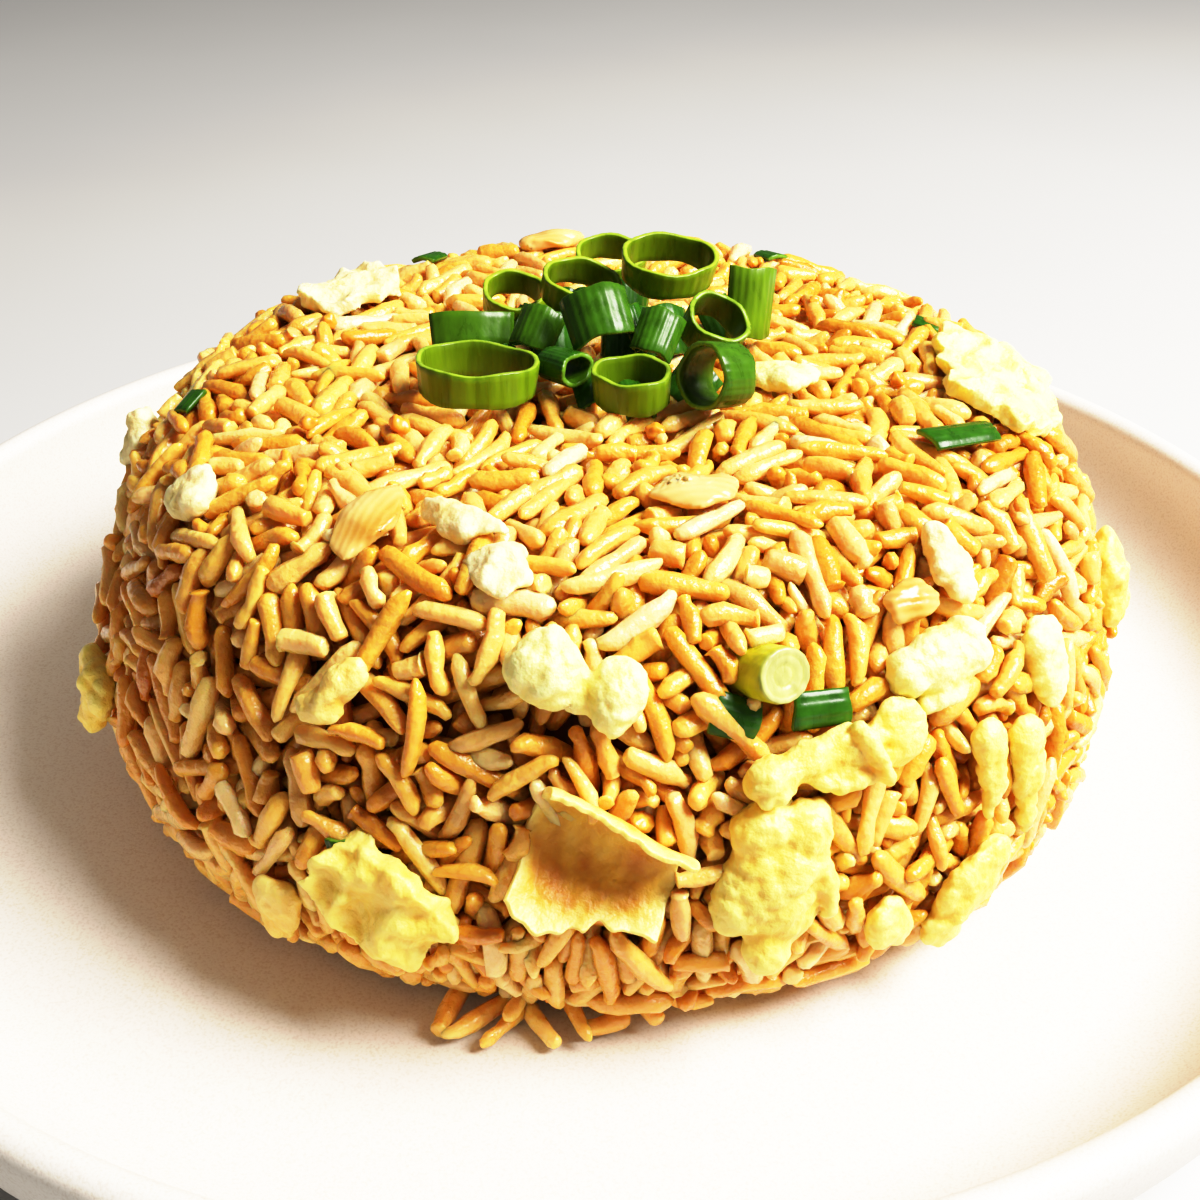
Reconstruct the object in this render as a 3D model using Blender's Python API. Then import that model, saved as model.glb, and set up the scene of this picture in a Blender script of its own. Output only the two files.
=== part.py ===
"""A moulded mound of egg fried rice on a stoneware side plate, topped with cut spring onion.

Units are metres, +Z is up.  The origin is the middle of the plate's foot ring, on the table.
The viewer's side of the dish is -Y.  Bearings are degrees round the mound: 0 faces -Y, 90 faces +X.
"""
import math
from collections import namedtuple

import bmesh
import bpy
from mathutils import Euler, Matrix, Vector, noise

MM = 0.001
GAP = 0.3 * MM                      # clearance kept between pieces that touch
POCKET_GAP = 0.4 * MM               # a little more at a pocket's corners, so its flats keep the gap

# Plate: a turned coupe side plate with a quarter-round wall and a rolled lip.
PLATE_RADIUS = 90.0 * MM
PLATE_WALL = 3.5 * MM
COVE_RADIUS = 14.5 * MM             # inside of the quarter-round wall
WELL_HEIGHT = 6.0 * MM              # well floor above the table
FOOT_OUTER = 57.5 * MM
FOOT_WIDTH = 5.0 * MM
FOOT_DEPTH = 2.0 * MM
FOOT_TAPER = 0.15                   # share of the foot's width that each of its sides slopes
WELL_RING = 0.55                    # where the well floor has its ring of corners
PLATE_STEPS = 40
ARC_STEPS = 5
LIP_STEPS = 4

# Rice mound: turned out of a bowl, so widest a third of the way up, with a round shoulder.
MOUND_AXIS = Vector((2.4 * MM, -0.5 * MM, 0.0))
MOUND_HEIGHT = 44.3 * MM
MOUND_BASE_RADIUS = 50.0 * MM
MOUND_RADIUS = 57.0 * MM
WIDEST_AT = 15.5 * MM
MOUND_FLOOR = Vector((0.0, 0.0, WELL_HEIGHT + GAP))
BASE_ROUNDING = 3.0                 # power of the tuck under the widest line
SHOULDER_POWER = 10.0               # how squarely the side turns into the flat top
ROW_SPACING = 0.35                  # gathers the rows of faces towards the shoulder
SLOPE_STEP = 2.5 * MM               # how far either way the mound's slope is felt
RELIEF = 1.1 * MM                   # unevenness that the grains leave
RELIEF_SCALE = 95.0                 # relief features per metre
FINE_RELIEF = 2.3                   # how many times finer its second layer is
MOUND_COLUMNS = 38
TUCK_ROWS = 3                       # rows of faces below the widest line
DOME_ROWS = 10                      # and above it

# Spring onion: hollow leaf cut across into rings.
ONION_WALL = 0.85 * MM
RING_SIDES = 12
OPEN_LEAF_DENSITY = 1.4             # an opened leaf has closer corners than a ring, by this much

# Egg: lumps that swell unevenly, sheets that are rumpled and ragged, and browned curls.
CURD_UNEVENNESS = 0.42
WAIST_WIDTH = 0.32                  # of a double lump's waist, as a share of half its width
WAIST_PINCH = 0.3
SHEET_COLUMNS, SHEET_ROWS = 6, 4
SHEET_ROUNDING = 0.22               # how far a sheet's corners are drawn in
SHEET_RAGGEDNESS = 0.25
SHEET_RUMPLE = 0.9 * MM
SHEET_WAVE = 0.35 * MM
CURL_COLUMNS, CURL_ROWS = 5, 6
CURL_MIDDLE, CURL_SWEEP = 8.0, 66.0  # degrees: where the trough's middle faces, and its half arc
CURL_TAPER = 0.14                   # narrower at one end by this share either way

Topping = namedtuple("Topping", "name form bearing along width height thickness roll proud seed")
# along: millimetres up the side from the mound's foot; negative counts back from the top's middle.
# proud: how far the piece's middle stands off the rice, in millimetres.
TOPPINGS = (
    Topping("egg_curd_front", "curd", 15, 22.8, 10.0, 15.0, 6.0, 12, 1.0, 1),
    Topping("egg_fold_front", "double", 20.8, 33.0, 15.0, 6.6, 5.0, -4, 1.2, 2),
    Topping("egg_curd_right", "curd", 33.8, 37.2, 9.4, 7.2, 5.0, 10, 1.0, 3),
    Topping("egg_petal_right_upper", "curd", 38, 26.6, 4.2, 8.4, 4.6, -6, 0.8, 4),
    Topping("egg_petal_right_lower", "curd", 43.6, 24, 4.4, 12.0, 4.6, -4, 0.8, 5),
    Topping("egg_slab_low_right", "curd", 35.5, 13.6, 9.6, 11.0, 3.6, -35, 0.9, 6),
    Topping("egg_curd_far_right", "curd", 49.8, 32.5, 6.0, 11.0, 4.0, -8, 0.6, 7),
    Topping("egg_double_middle", "double", -3.2, 41, 12.6, 7.0, 5.0, -24, 0.8, 8),
    Topping("egg_flake_middle", "curd", -12.4, 50.5, 5.8, 5.8, 2.2, 15, 0.7, 9),
    Topping("egg_flake_pale", "curd", -20, -37.6, 9.0, 3.6, 2.2, -14, 0.7, 10),
    Topping("egg_sheet_low_left", "sheet", -20.3, 19.0, 13.0, 8.8, 2.2, -28, 0.9, 11),
    Topping("egg_curd_low_left", "curd", -31.5, 13.8, 6.0, 8.0, 3.6, 10, 0.7, 12),
    Topping("egg_skin_curl", "curl", -0.4, 24.4, 13.6, 9.4, 1.1, -18, -1.0, 13),
    Topping("egg_fold_left", "curd", -27, 37, 6.4, 8.0, 4.0, -35, 0.7, 14),
    Topping("egg_curd_pale_left", "curd", -58, 46.4, 6.2, 6.4, 3.6, 8, 0.6, 15),
    Topping("egg_sheet_top_left", "sheet", -123.6, -36, 14.0, 10.0, 1.6, 8, 0.7, 16),
    Topping("egg_sheet_top_right", "sheet", 86, -42, 21.0, 12.0, 1.8, 0, 0.7, 17),
    Topping("egg_curd_top", "curd", 72, -19.5, 7.0, 7.4, 3.0, 25, 0.8, 18),
    Topping("egg_petal_right_top", "curd", 40.5, 45.2, 4.2, 8.4, 3.4, 4, 0.7, 19),
    Topping("egg_curd_foot_right", "curd", 26, 14.5, 4.8, 6.8, 3.4, -30, 0.7, 20),
    Topping("egg_curd_side_right", "curd", 82, 24, 10.0, 12.0, 5.0, 20, 0.8, 21),
    Topping("egg_fold_side_right", "double", 104, 35, 12.5, 6.4, 4.4, 12, 0.8, 22),
    Topping("egg_curd_back_low", "curd", 128, 16, 9.4, 8.4, 4.6, -20, 0.8, 23),
    Topping("egg_sheet_back", "sheet", 152, 36, 13.0, 8.4, 2.0, 14, 0.9, 24),
    Topping("egg_curd_back", "curd", 174, 22, 10.0, 12.0, 5.4, 30, 0.9, 25),
    Topping("egg_fold_back_left", "double", 202, 38, 12.0, 6.4, 4.4, -16, 0.8, 26),
    Topping("egg_curd_low_back_left", "curd", 222, 16, 8.6, 7.4, 4.2, 10, 0.8, 27),
    Topping("egg_skin_side_left", "curl", 247, 28, 12.0, 8.4, 1.1, 14, -1.0, 28),
    Topping("egg_curd_side_left", "curd", 270, 38, 6.8, 7.8, 4.0, -12, 0.7, 29),
    Topping("egg_curd_left", "curd", 292, 19, 8.0, 9.6, 4.4, 22, 0.8, 30),
    Topping("onion_strip_left", "curd", -32, -39.5, 5.4, 9.6, 2.4, 10, 0.6, 32),
    Topping("onion_strip_right", "curd", 33.2, 43.6, 5.6, 3.8, 2.4, -8, 0.6, 33),
    Topping("onion_strip_top", "curd", 15.5, -31, 8.0, 5.0, 2.2, -8, 0.6, 34),
    Topping("onion_strip_back", "curd", 190, -40, 8.6, 5.0, 2.4, 12, 0.6, 36),
    Topping("spring_onion_leaf_in_shoulder", "sheet", 63, -39, 3.0, 9.0, 1.3, 55, 0.7, 37),
)

CutLeaf = namedtuple("CutLeaf", "name place turn radius length arc squash")
# place: millimetres from the middle of the mound's top; turn: degrees about X, Y, then Z.
# arc: degrees of the hollow leaf that the piece keeps, 360 for a whole ring.
SPRING_ONION = (
    CutLeaf("ring_front_left", (-12.8, -9.8, 2.8), (-3, 3, 0), 5.8, 3.7, 360, 0.9),
    CutLeaf("ring_front_middle", (2.6, -12.5, 2.8), (2, -2, 0), 3.9, 3.5, 360, 0.92),
    CutLeaf("ring_front_right", (10.9, -13.6, 4.5), (76, 0, -50), 3.5, 4.6, 360, 0.9),
    CutLeaf("ring_back_high", (7.2, 8.2, 7.6), (13, 6, 0), 5.1, 3.3, 360, 0.84),
    CutLeaf("ring_back_middle", (-2.6, 6.6, 5.6), (18, 10, 10), 4.1, 3.2, 360, 0.9),
    CutLeaf("ring_back_far", (0.9, 19.8, 3.8), (16, -4, 25), 4.2, 3.2, 360, 0.85),
    CutLeaf("ring_back_left", (-9.9, 8.6, 3.7), (18, 12, -15), 3.6, 3.1, 360, 0.88),
    CutLeaf("leaf_left", (-14.4, 1.9, 2.6), (-38, 2, 8), 8.2, 3.6, 66, 1.0),
    CutLeaf("leaf_middle", (-0.9, -4.2, 7.2), (-48, -14, 8), 3.9, 5.6, 124, 1.0),
    CutLeaf("leaf_middle_left", (-7.2, -1.0, 4.4), (-45, 10, -22), 2.9, 4.6, 120, 1.0),
    CutLeaf("leaf_middle_right", (5.6, -5.6, 5.7), (-50, 18, -10), 2.6, 5.0, 124, 1.0),
    CutLeaf("tube_front", (-4.2, -8.0, 3.0), (82, 0, 40), 2.0, 4.6, 360, 0.9),
    CutLeaf("leaf_right", (16.2, 3.8, 5.2), (-14, 10, 22), 3.3, 7.6, 120, 1.0),
    CutLeaf("ring_right", (11.6, -1.3, 4.6), (24, 22, 0), 3.6, 3.4, 360, 0.88),
)

# The one slice of pale stem that lies in the side of the mound, a cut end facing out.
SideStem = namedtuple("SideStem", "name bearing along radius length aim rise")
# aim: the bearing that its cut end faces; rise: degrees that it points above level.
SIDE_STEM = SideStem("spring_onion_stem_in_side", 15.4, 41.0, 2.7, 6.2, 34, 24)

Finish = namedtuple("Finish", "colour roughness")
FINISHES = {
    "stoneware": Finish((0.86, 0.81, 0.75), 0.55),
    "rice": Finish((0.82, 0.58, 0.30), 0.40),
    "egg": Finish((0.95, 0.80, 0.38), 0.45),
    "onion": Finish((0.86, 0.70, 0.46), 0.30),
    "spring_onion": Finish((0.14, 0.33, 0.03), 0.30),
}


def clear_scene():
    for thing in list(bpy.data.objects):
        bpy.data.objects.remove(thing, do_unlink=True)


def material(name):
    """One Principled material for each sub-part, in the finish that its kind has."""
    finish = FINISHES[name]
    made = bpy.data.materials.new(name)
    made.use_nodes = True
    shader = made.node_tree.nodes["Principled BSDF"]
    shader.inputs["Base Color"].default_value = (*finish.colour, 1.0)
    shader.inputs["Roughness"].default_value = finish.roughness
    shader.inputs["Metallic"].default_value = 0.0
    return made


def face_outwards(bm):
    bmesh.ops.recalc_face_normals(bm, faces=bm.faces)
    if bm.calc_volume(signed=True) < 0:
        bmesh.ops.reverse_faces(bm, faces=bm.faces)
    bm.normal_update()


def add_piece(name, mesh_builder, finish, smooth=True):
    """Turn a bmesh into a named object with its own material."""
    face_outwards(mesh_builder)
    mesh = bpy.data.meshes.new(name)
    mesh_builder.to_mesh(mesh)
    mesh_builder.free()
    if smooth:
        mesh.shade_smooth()
        mesh.set_sharp_from_angle(angle=math.radians(50))
    mesh.materials.append(material(finish))
    piece = bpy.data.objects.new(name, mesh)
    bpy.context.scene.collection.objects.link(piece)
    return piece


def arc_points(centre, radius, start, end, steps):
    """Points of an arc in the radius-height plane, both ends included."""
    turns = [math.radians(start + (end - start) * i / steps) for i in range(steps + 1)]
    return [(centre[0] + radius * math.cos(a), centre[1] + radius * math.sin(a)) for a in turns]


def plate_profile():
    """Half section of the plate, from the middle of the well over the lip to the underside."""
    cove = (PLATE_RADIUS - PLATE_WALL - COVE_RADIUS, WELL_HEIGHT + COVE_RADIUS)
    lip = (PLATE_RADIUS - PLATE_WALL / 2, cove[1])
    outline = [(0.0, WELL_HEIGHT), (cove[0] * WELL_RING, WELL_HEIGHT)]
    outline += arc_points(cove, COVE_RADIUS, -90, 0, ARC_STEPS)
    outline += arc_points(lip, PLATE_WALL / 2, 180, 0, LIP_STEPS)[1:-1]
    outline += arc_points(cove, COVE_RADIUS + PLATE_WALL, 0, -90, ARC_STEPS)
    outline += [
        (FOOT_OUTER, WELL_HEIGHT - PLATE_WALL),
        (FOOT_OUTER - FOOT_WIDTH * FOOT_TAPER, 0.0),
        (FOOT_OUTER - FOOT_WIDTH * (1.0 - FOOT_TAPER), 0.0),
        (FOOT_OUTER - FOOT_WIDTH, FOOT_DEPTH),
        (0.0, FOOT_DEPTH),
    ]
    return outline


def build_plate():
    bm = bmesh.new()
    corners = [bm.verts.new((radius, 0.0, height)) for radius, height in plate_profile()]
    edges = [bm.edges.new(pair) for pair in zip(corners, corners[1:])]
    bmesh.ops.spin(bm, geom=corners + edges, cent=(0, 0, 0), axis=(0, 0, 1),
                   angle=math.tau, steps=PLATE_STEPS, use_merge=True)
    bmesh.ops.remove_doubles(bm, verts=bm.verts, dist=0.01 * MM)
    return add_piece("plate", bm, "stoneware")


def mound_outline(tuck_steps, dome_steps):
    """Radius and height of the smooth mound, from its foot edge to the middle of its top."""
    outline = []
    for i in range(tuck_steps):
        height = WIDEST_AT * i / tuck_steps
        tuck = (1.0 - height / WIDEST_AT) ** BASE_ROUNDING
        outline.append((MOUND_RADIUS - (MOUND_RADIUS - MOUND_BASE_RADIUS) * tuck, height))
    for i in range(dome_steps + 1):
        reach = abs(math.cos(math.radians(90.0 * i / dome_steps))) ** ROW_SPACING
        drop = (MOUND_HEIGHT - WIDEST_AT) * reach ** SHOULDER_POWER
        outline.append((MOUND_RADIUS * reach, MOUND_HEIGHT - drop))
    outline[-1] = (0.0, MOUND_HEIGHT)
    return outline


FINE_OUTLINE = mound_outline(40, 400)
FINE_LENGTHS = [0.0]
for inner, outer in zip(FINE_OUTLINE, FINE_OUTLINE[1:]):
    FINE_LENGTHS.append(FINE_LENGTHS[-1] + math.dist(inner, outer))


def outline_at(along):
    """Radius and height of the smooth mound a given way up its side."""
    along = min(max(along, 0.0), FINE_LENGTHS[-1] - GAP)
    index = next(i for i, length in enumerate(FINE_LENGTHS) if length > along)
    share = (along - FINE_LENGTHS[index - 1]) / (FINE_LENGTHS[index] - FINE_LENGTHS[index - 1])
    return Vector(FINE_OUTLINE[index - 1]).lerp(Vector(FINE_OUTLINE[index]), share)


def mound_frame(bearing, along):
    """Matrix of a place on the mound: X to the right round it, Y up its surface, Z outwards."""
    radius, height = outline_at(along)
    slope = (outline_at(along + SLOPE_STEP) - outline_at(along - SLOPE_STEP)).normalized()
    turn = math.radians(bearing)
    outward = Vector((math.sin(turn), -math.cos(turn), 0.0))
    right = Vector((math.cos(turn), math.sin(turn), 0.0))
    up = outward * slope.x + Vector((0, 0, slope.y))
    frame = Matrix((right, up, right.cross(up))).transposed().to_4x4()
    frame.translation = MOUND_AXIS + MOUND_FLOOR + outward * radius + Vector((0, 0, height))
    return frame


def wrap_on_mound(bm, bearing, along_mm):
    """Lay a piece, modelled flat with Z outwards, on the mound so that it follows the surface."""
    along = along_mm * MM if along_mm >= 0 else FINE_LENGTHS[-1] + along_mm * MM
    radius = outline_at(along).x
    for vert in bm.verts:
        aside = math.degrees(vert.co.x / radius)
        place = mound_frame(bearing + aside, along + vert.co.y)
        vert.co = place @ Vector((0.0, 0.0, vert.co.z))


def relief(point, seed):
    """Smooth unevenness between -1 and 1 at a point."""
    broad = noise.noise(point * RELIEF_SCALE + Vector((seed, 0, 0)))
    fine = noise.noise(point * RELIEF_SCALE * FINE_RELIEF + Vector((0, seed, 0)))
    return broad * 1.1 + fine * 0.6


def build_rice(cutters):
    """The mound as one body, uneven all over, with a pocket for each topping set into it."""
    bm = bmesh.new()
    rows = []
    for row, (radius, height) in enumerate(mound_outline(TUCK_ROWS, DOME_ROWS)[:-1]):
        ring = []
        topness = min(1.0, 3.0 * (1.0 - radius / MOUND_RADIUS))
        lift = min(height / WIDEST_AT, 1.0)
        for column in range(MOUND_COLUMNS):
            turn = math.tau * (column + 0.5 * (row % 2)) / MOUND_COLUMNS
            outward = Vector((math.sin(turn), -math.cos(turn), 0.0))
            point = MOUND_AXIS + MOUND_FLOOR + outward * radius + Vector((0, 0, height))
            push = relief(point, 3.7) * RELIEF
            point += outward * push * (1.0 - topness) + Vector((0, 0, push * lift * topness))
            ring.append(bm.verts.new(point))
        rows.append(ring)
    for row, (lower, upper) in enumerate(zip(rows, rows[1:])):
        for i in range(MOUND_COLUMNS):
            j = (i + 1) % MOUND_COLUMNS
            if row % 2:
                bm.faces.new((lower[i], lower[j], upper[j]))
                bm.faces.new((lower[i], upper[j], upper[i]))
            else:
                bm.faces.new((lower[i], lower[j], upper[i]))
                bm.faces.new((lower[j], upper[j], upper[i]))
    foot = bm.verts.new(MOUND_AXIS + MOUND_FLOOR)
    crown = bm.verts.new(MOUND_AXIS + MOUND_FLOOR + Vector((0, 0, MOUND_HEIGHT)))
    for i in range(MOUND_COLUMNS):
        j = (i + 1) % MOUND_COLUMNS
        bm.faces.new((foot, rows[0][j], rows[0][i]))
        bm.faces.new((crown, rows[-1][i], rows[-1][j]))
    rice = add_piece("rice", bm, "rice")
    pockets = bpy.data.collections.new("pockets")
    bpy.context.scene.collection.children.link(pockets)
    for cutter in cutters:
        pockets.objects.link(cutter)
    cut = rice.modifiers.new("pockets", "BOOLEAN")
    cut.operation = "DIFFERENCE"
    cut.solver = "EXACT"
    cut.operand_type = "COLLECTION"
    cut.collection = pockets
    return rice


def curd_shape(spec, waist=0.0):
    """A soft lump of scrambled egg; a waist pinches it into two lobes."""
    bm = bmesh.new()
    bmesh.ops.create_icosphere(bm, subdivisions=2, radius=1.0)
    half = Vector((spec.width, spec.height, spec.thickness)) * MM / 2
    shift = Vector((spec.seed * 3.1, spec.seed * 1.7, 0.0))
    for vert in bm.verts:
        side = vert.co.copy()
        swell = 1.0 + CURD_UNEVENNESS * noise.noise(side * 1.25 + shift)
        pinch = 1.0 - waist * math.exp(-(side.x / WAIST_WIDTH) ** 2)
        vert.co = Vector((side.x * half.x * swell,
                          side.y * half.y * swell * pinch,
                          side.z * half.z * (0.8 + 0.2 * swell) * pinch))
    return bm


def slab(point_at, thickness, columns, rows):
    """A closed sheet of even thickness over a grid of points and their outward directions."""
    bm = bmesh.new()
    sides = []
    for offset in (thickness / 2, -thickness / 2):
        grid = []
        for i in range(columns + 1):
            line = []
            for j in range(rows + 1):
                point, outward = point_at(i / columns * 2 - 1, j / rows * 2 - 1)
                line.append(bm.verts.new(point + outward * offset))
            grid.append(line)
        sides.append(grid)
    front, back = sides
    for i in range(columns):
        for j in range(rows):
            bm.faces.new((front[i][j], front[i + 1][j], front[i + 1][j + 1], front[i][j + 1]))
            bm.faces.new((back[i][j + 1], back[i + 1][j + 1], back[i + 1][j], back[i][j]))
    loop = [(i, 0) for i in range(columns)] + [(columns, j) for j in range(rows)]
    loop += [(i, rows) for i in range(columns, 0, -1)] + [(0, j) for j in range(rows, 0, -1)]
    for (a, b), (c, d) in zip(loop, loop[1:] + loop[:1]):
        bm.faces.new((front[c][d], front[a][b], back[a][b], back[c][d]))
    bmesh.ops.triangulate(bm, faces=bm.faces)
    return bm


def sheet_shape(spec):
    """A thin piece of set egg, rumpled, with a ragged outline."""
    width, height = spec.width * MM / 2, spec.height * MM / 2
    shift = Vector((spec.seed * 2.3, spec.seed * 5.1, 0.0))

    def point_at(u, v):
        round_off = 1.0 - SHEET_ROUNDING * (u * v) ** 2
        ragged = 1.0 + SHEET_RAGGEDNESS * noise.noise(Vector((u * 1.6, v * 1.6, 0.0)) + shift)
        rumple = noise.noise(Vector((u * 1.5, v * 1.1, 4.0)) + shift) * SHEET_RUMPLE
        rumple += math.cos(u * 3.4 + spec.seed) * SHEET_WAVE
        reach = round_off * ragged
        return Vector((u * width * reach, v * height * reach, rumple)), Vector((0, 0, 1))

    return slab(point_at, spec.thickness * MM, SHEET_COLUMNS, SHEET_ROWS)


def curl_shape(spec):
    """A browned skin of egg, curled into a shallow trough whose hollow faces outwards."""
    width, radius = spec.width * MM / 2, spec.height * MM / 2

    def point_at(u, v):
        turn = math.radians(CURL_MIDDLE + CURL_SWEEP * v)
        reach = radius * (1.0 - CURL_TAPER * u)
        hollow = Vector((0.0, math.sin(turn), -math.cos(turn)))
        return Vector((u * width, 0.0, radius)) + hollow * reach, -hollow

    return slab(point_at, spec.thickness * MM, CURL_COLUMNS, CURL_ROWS)


FORMS = {
    "curd": curd_shape,
    "double": lambda spec: curd_shape(spec, waist=WAIST_PINCH),
    "sheet": sheet_shape,
    "curl": curl_shape,
}


def pocket_shape(bm, form):
    """The space that a piece needs, a gap larger all round and with no hollow in it."""
    if form in ("sheet", "curl"):
        pocket = bmesh.new()
        corners = [pocket.verts.new(vert.co) for vert in bm.verts]
        bmesh.ops.convex_hull(pocket, input=corners)
        loose = [vert for vert in pocket.verts if not vert.link_faces]
        bmesh.ops.delete(pocket, geom=loose, context="VERTS")
    else:
        pocket = bm.copy()
    face_outwards(pocket)
    for vert in pocket.verts:
        vert.co += vert.normal * POCKET_GAP
    return pocket


def build_topping(spec):
    """A piece set into the mound's surface, and the cutter for its pocket in the rice."""
    bm = FORMS[spec.form](spec)
    spin = Matrix.Rotation(math.radians(spec.roll), 3, "Z")
    bmesh.ops.rotate(bm, verts=bm.verts, cent=(0, 0, 0), matrix=spin)
    bmesh.ops.translate(bm, verts=bm.verts, vec=(0, 0, spec.proud * MM))
    wrap_on_mound(bm, spec.bearing, spec.along)
    pocket = pocket_shape(bm, spec.form)
    finish = next(kind for kind in ("spring_onion", "onion", "egg") if spec.name.startswith(kind))
    add_piece(spec.name, bm, finish)
    return build_cutter(spec.name, pocket)


def build_cutter(name, bm):
    cutter = add_piece(name + "_pocket", bm, "rice")
    bpy.context.scene.collection.objects.unlink(cutter)
    cutter.hide_render = True
    cutter.display_type = "WIRE"
    return cutter


def leaf_shape(radius, length, arc, squash):
    """A length of hollow leaf: a whole ring, or the part of one that a cut has opened."""
    bm = bmesh.new()
    closed = arc >= 360
    steps = RING_SIDES if closed else max(4, round(RING_SIDES * arc / 360 * OPEN_LEAF_DENSITY))
    count = steps if closed else steps + 1
    loops = []
    for i in range(count):
        turn = math.radians(-90 - arc / 2 + arc * i / steps)
        across = Vector((math.cos(turn), math.sin(turn) * squash, 0.0))
        corners = []
        for reach, level in ((0, -1), (0, 1), (-ONION_WALL, 1), (-ONION_WALL, -1)):
            height = Vector((0, 0, level * length / 2))
            corners.append(bm.verts.new(across * (radius + reach) + height))
        loops.append(corners)
    pairs = list(zip(loops, loops[1:]))
    if closed:
        pairs.append((loops[-1], loops[0]))
    for near, far in pairs:
        for a, b in ((0, 1), (1, 2), (2, 3), (3, 0)):
            bm.faces.new((near[a], far[a], far[b], near[b]))
    if not closed:
        bm.faces.new(loops[0])
        bm.faces.new(list(reversed(loops[-1])))
        middle = Vector((0, -radius * 0.75, 0))
        bmesh.ops.translate(bm, verts=bm.verts, vec=-middle)
    return bm


def build_spring_onion(spec):
    bm = leaf_shape(spec.radius * MM, spec.length * MM, spec.arc, spec.squash)
    turn = Euler([math.radians(a) for a in spec.turn]).to_matrix()
    bmesh.ops.rotate(bm, verts=bm.verts, cent=(0, 0, 0), matrix=turn)
    top = MOUND_AXIS + MOUND_FLOOR + Vector((0, 0, MOUND_HEIGHT))
    bmesh.ops.translate(bm, verts=bm.verts, vec=top + Vector(spec.place) * MM)
    return add_piece("spring_onion_" + spec.name, bm, "spring_onion")


def build_side_stem():
    """The slice of stem that was folded into the rice, and the cutter for its round pocket."""
    radius, length = SIDE_STEM.radius * MM, SIDE_STEM.length * MM
    aim, rise = math.radians(SIDE_STEM.aim), math.radians(SIDE_STEM.rise)
    axis = Vector((math.sin(aim) * math.cos(rise), -math.cos(aim) * math.cos(rise), math.sin(rise)))
    place = axis.to_track_quat("Z", "Y").to_matrix().to_4x4()
    place.translation = mound_frame(SIDE_STEM.bearing, SIDE_STEM.along * MM).translation
    bodies = []
    for room in (0.0, GAP):
        bm = bmesh.new()
        reach = (radius + room) / math.cos(math.pi / RING_SIDES) if room else radius
        bmesh.ops.create_cone(bm, cap_ends=True, segments=RING_SIDES, radius1=reach, radius2=reach,
                              depth=length + 2 * room)
        bmesh.ops.transform(bm, verts=bm.verts, matrix=place)
        bodies.append(bm)
    add_piece(SIDE_STEM.name, bodies[0], "spring_onion")
    return build_cutter(SIDE_STEM.name, bodies[1])


def main():
    clear_scene()
    build_plate()
    cutters = [build_topping(spec) for spec in TOPPINGS]
    cutters.append(build_side_stem())
    build_rice(cutters)
    for spec in SPRING_ONION:
        build_spring_onion(spec)


main()
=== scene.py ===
import math
from collections import namedtuple

import bmesh
import bpy
import numpy as np
from mathutils import Euler, Matrix, Vector, noise
from mathutils.bvhtree import BVHTree


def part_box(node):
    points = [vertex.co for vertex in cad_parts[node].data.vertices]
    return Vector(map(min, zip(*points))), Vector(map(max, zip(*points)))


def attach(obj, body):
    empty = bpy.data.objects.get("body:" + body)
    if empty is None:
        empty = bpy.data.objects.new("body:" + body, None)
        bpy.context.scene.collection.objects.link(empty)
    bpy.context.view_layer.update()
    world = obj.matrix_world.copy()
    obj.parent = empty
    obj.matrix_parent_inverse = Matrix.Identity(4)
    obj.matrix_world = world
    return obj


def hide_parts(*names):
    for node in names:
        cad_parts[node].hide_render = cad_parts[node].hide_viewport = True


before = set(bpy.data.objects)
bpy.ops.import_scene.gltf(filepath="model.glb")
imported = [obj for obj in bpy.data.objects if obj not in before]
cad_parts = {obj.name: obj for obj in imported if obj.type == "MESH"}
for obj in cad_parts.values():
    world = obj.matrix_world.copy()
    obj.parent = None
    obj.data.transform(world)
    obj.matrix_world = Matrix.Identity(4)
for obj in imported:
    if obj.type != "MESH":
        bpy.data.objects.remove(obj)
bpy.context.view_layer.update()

scene = bpy.context.scene
MM = 0.001

# ---------------------------------------------------------------------------------------------
# Camera.  The diner's view of the dish: close, a third of the way up to overhead, and framed so
# that the mound fills it and the plate's lip runs out at both sides.
CAMERA_PLACE = (1.9 * MM, -150.5 * MM, 116.3 * MM)
CAMERA_PITCH = 32.7
camera_data = bpy.data.cameras.new("camera")
camera_data.lens = 45.0
camera_data.sensor_width = 36.0
camera_data.clip_start = 0.01
camera = bpy.data.objects.new("camera", camera_data)
camera.location = CAMERA_PLACE
camera.rotation_euler = (math.radians(90.0 - CAMERA_PITCH), 0.0, 0.0)
scene.collection.objects.link(camera)
scene.camera = camera

# ---------------------------------------------------------------------------------------------
# Floor and light.  A plain pale table, a broad window-like key from high on the right, and
# an even pale sky that keeps the shaded side open.  The tone curve rolls bright
# glaze and egg off gently, as film does, so that neither burns out.
KEY_BEARING, KEY_HEIGHT, KEY_DISTANCE, KEY_SIZE = -15.0, 50.0, 0.60, 0.32
KEY_POWER = 11.6
KEY_COLOUR = (1.0, 0.965, 0.91)
SKY_COLOUR, SKY_STRENGTH = (1.0, 0.95, 0.90), 0.185
TONE_WHITE = 2.4                    # scene brightness that the curve takes to full white
TONE_CURVE = ((0.02, 0.026), (0.055, 0.090), (0.12, 0.250), (0.24, 0.555), (0.36, 0.80),
              (0.55, 0.935), (0.75, 0.985))

view = scene.view_settings
view.view_transform = "Standard"
view.use_curve_mapping = True
view.curve_mapping.white_level = (TONE_WHITE, TONE_WHITE, TONE_WHITE)
for point in TONE_CURVE:
    view.curve_mapping.curves[3].points.new(*point)
view.curve_mapping.update()


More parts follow.
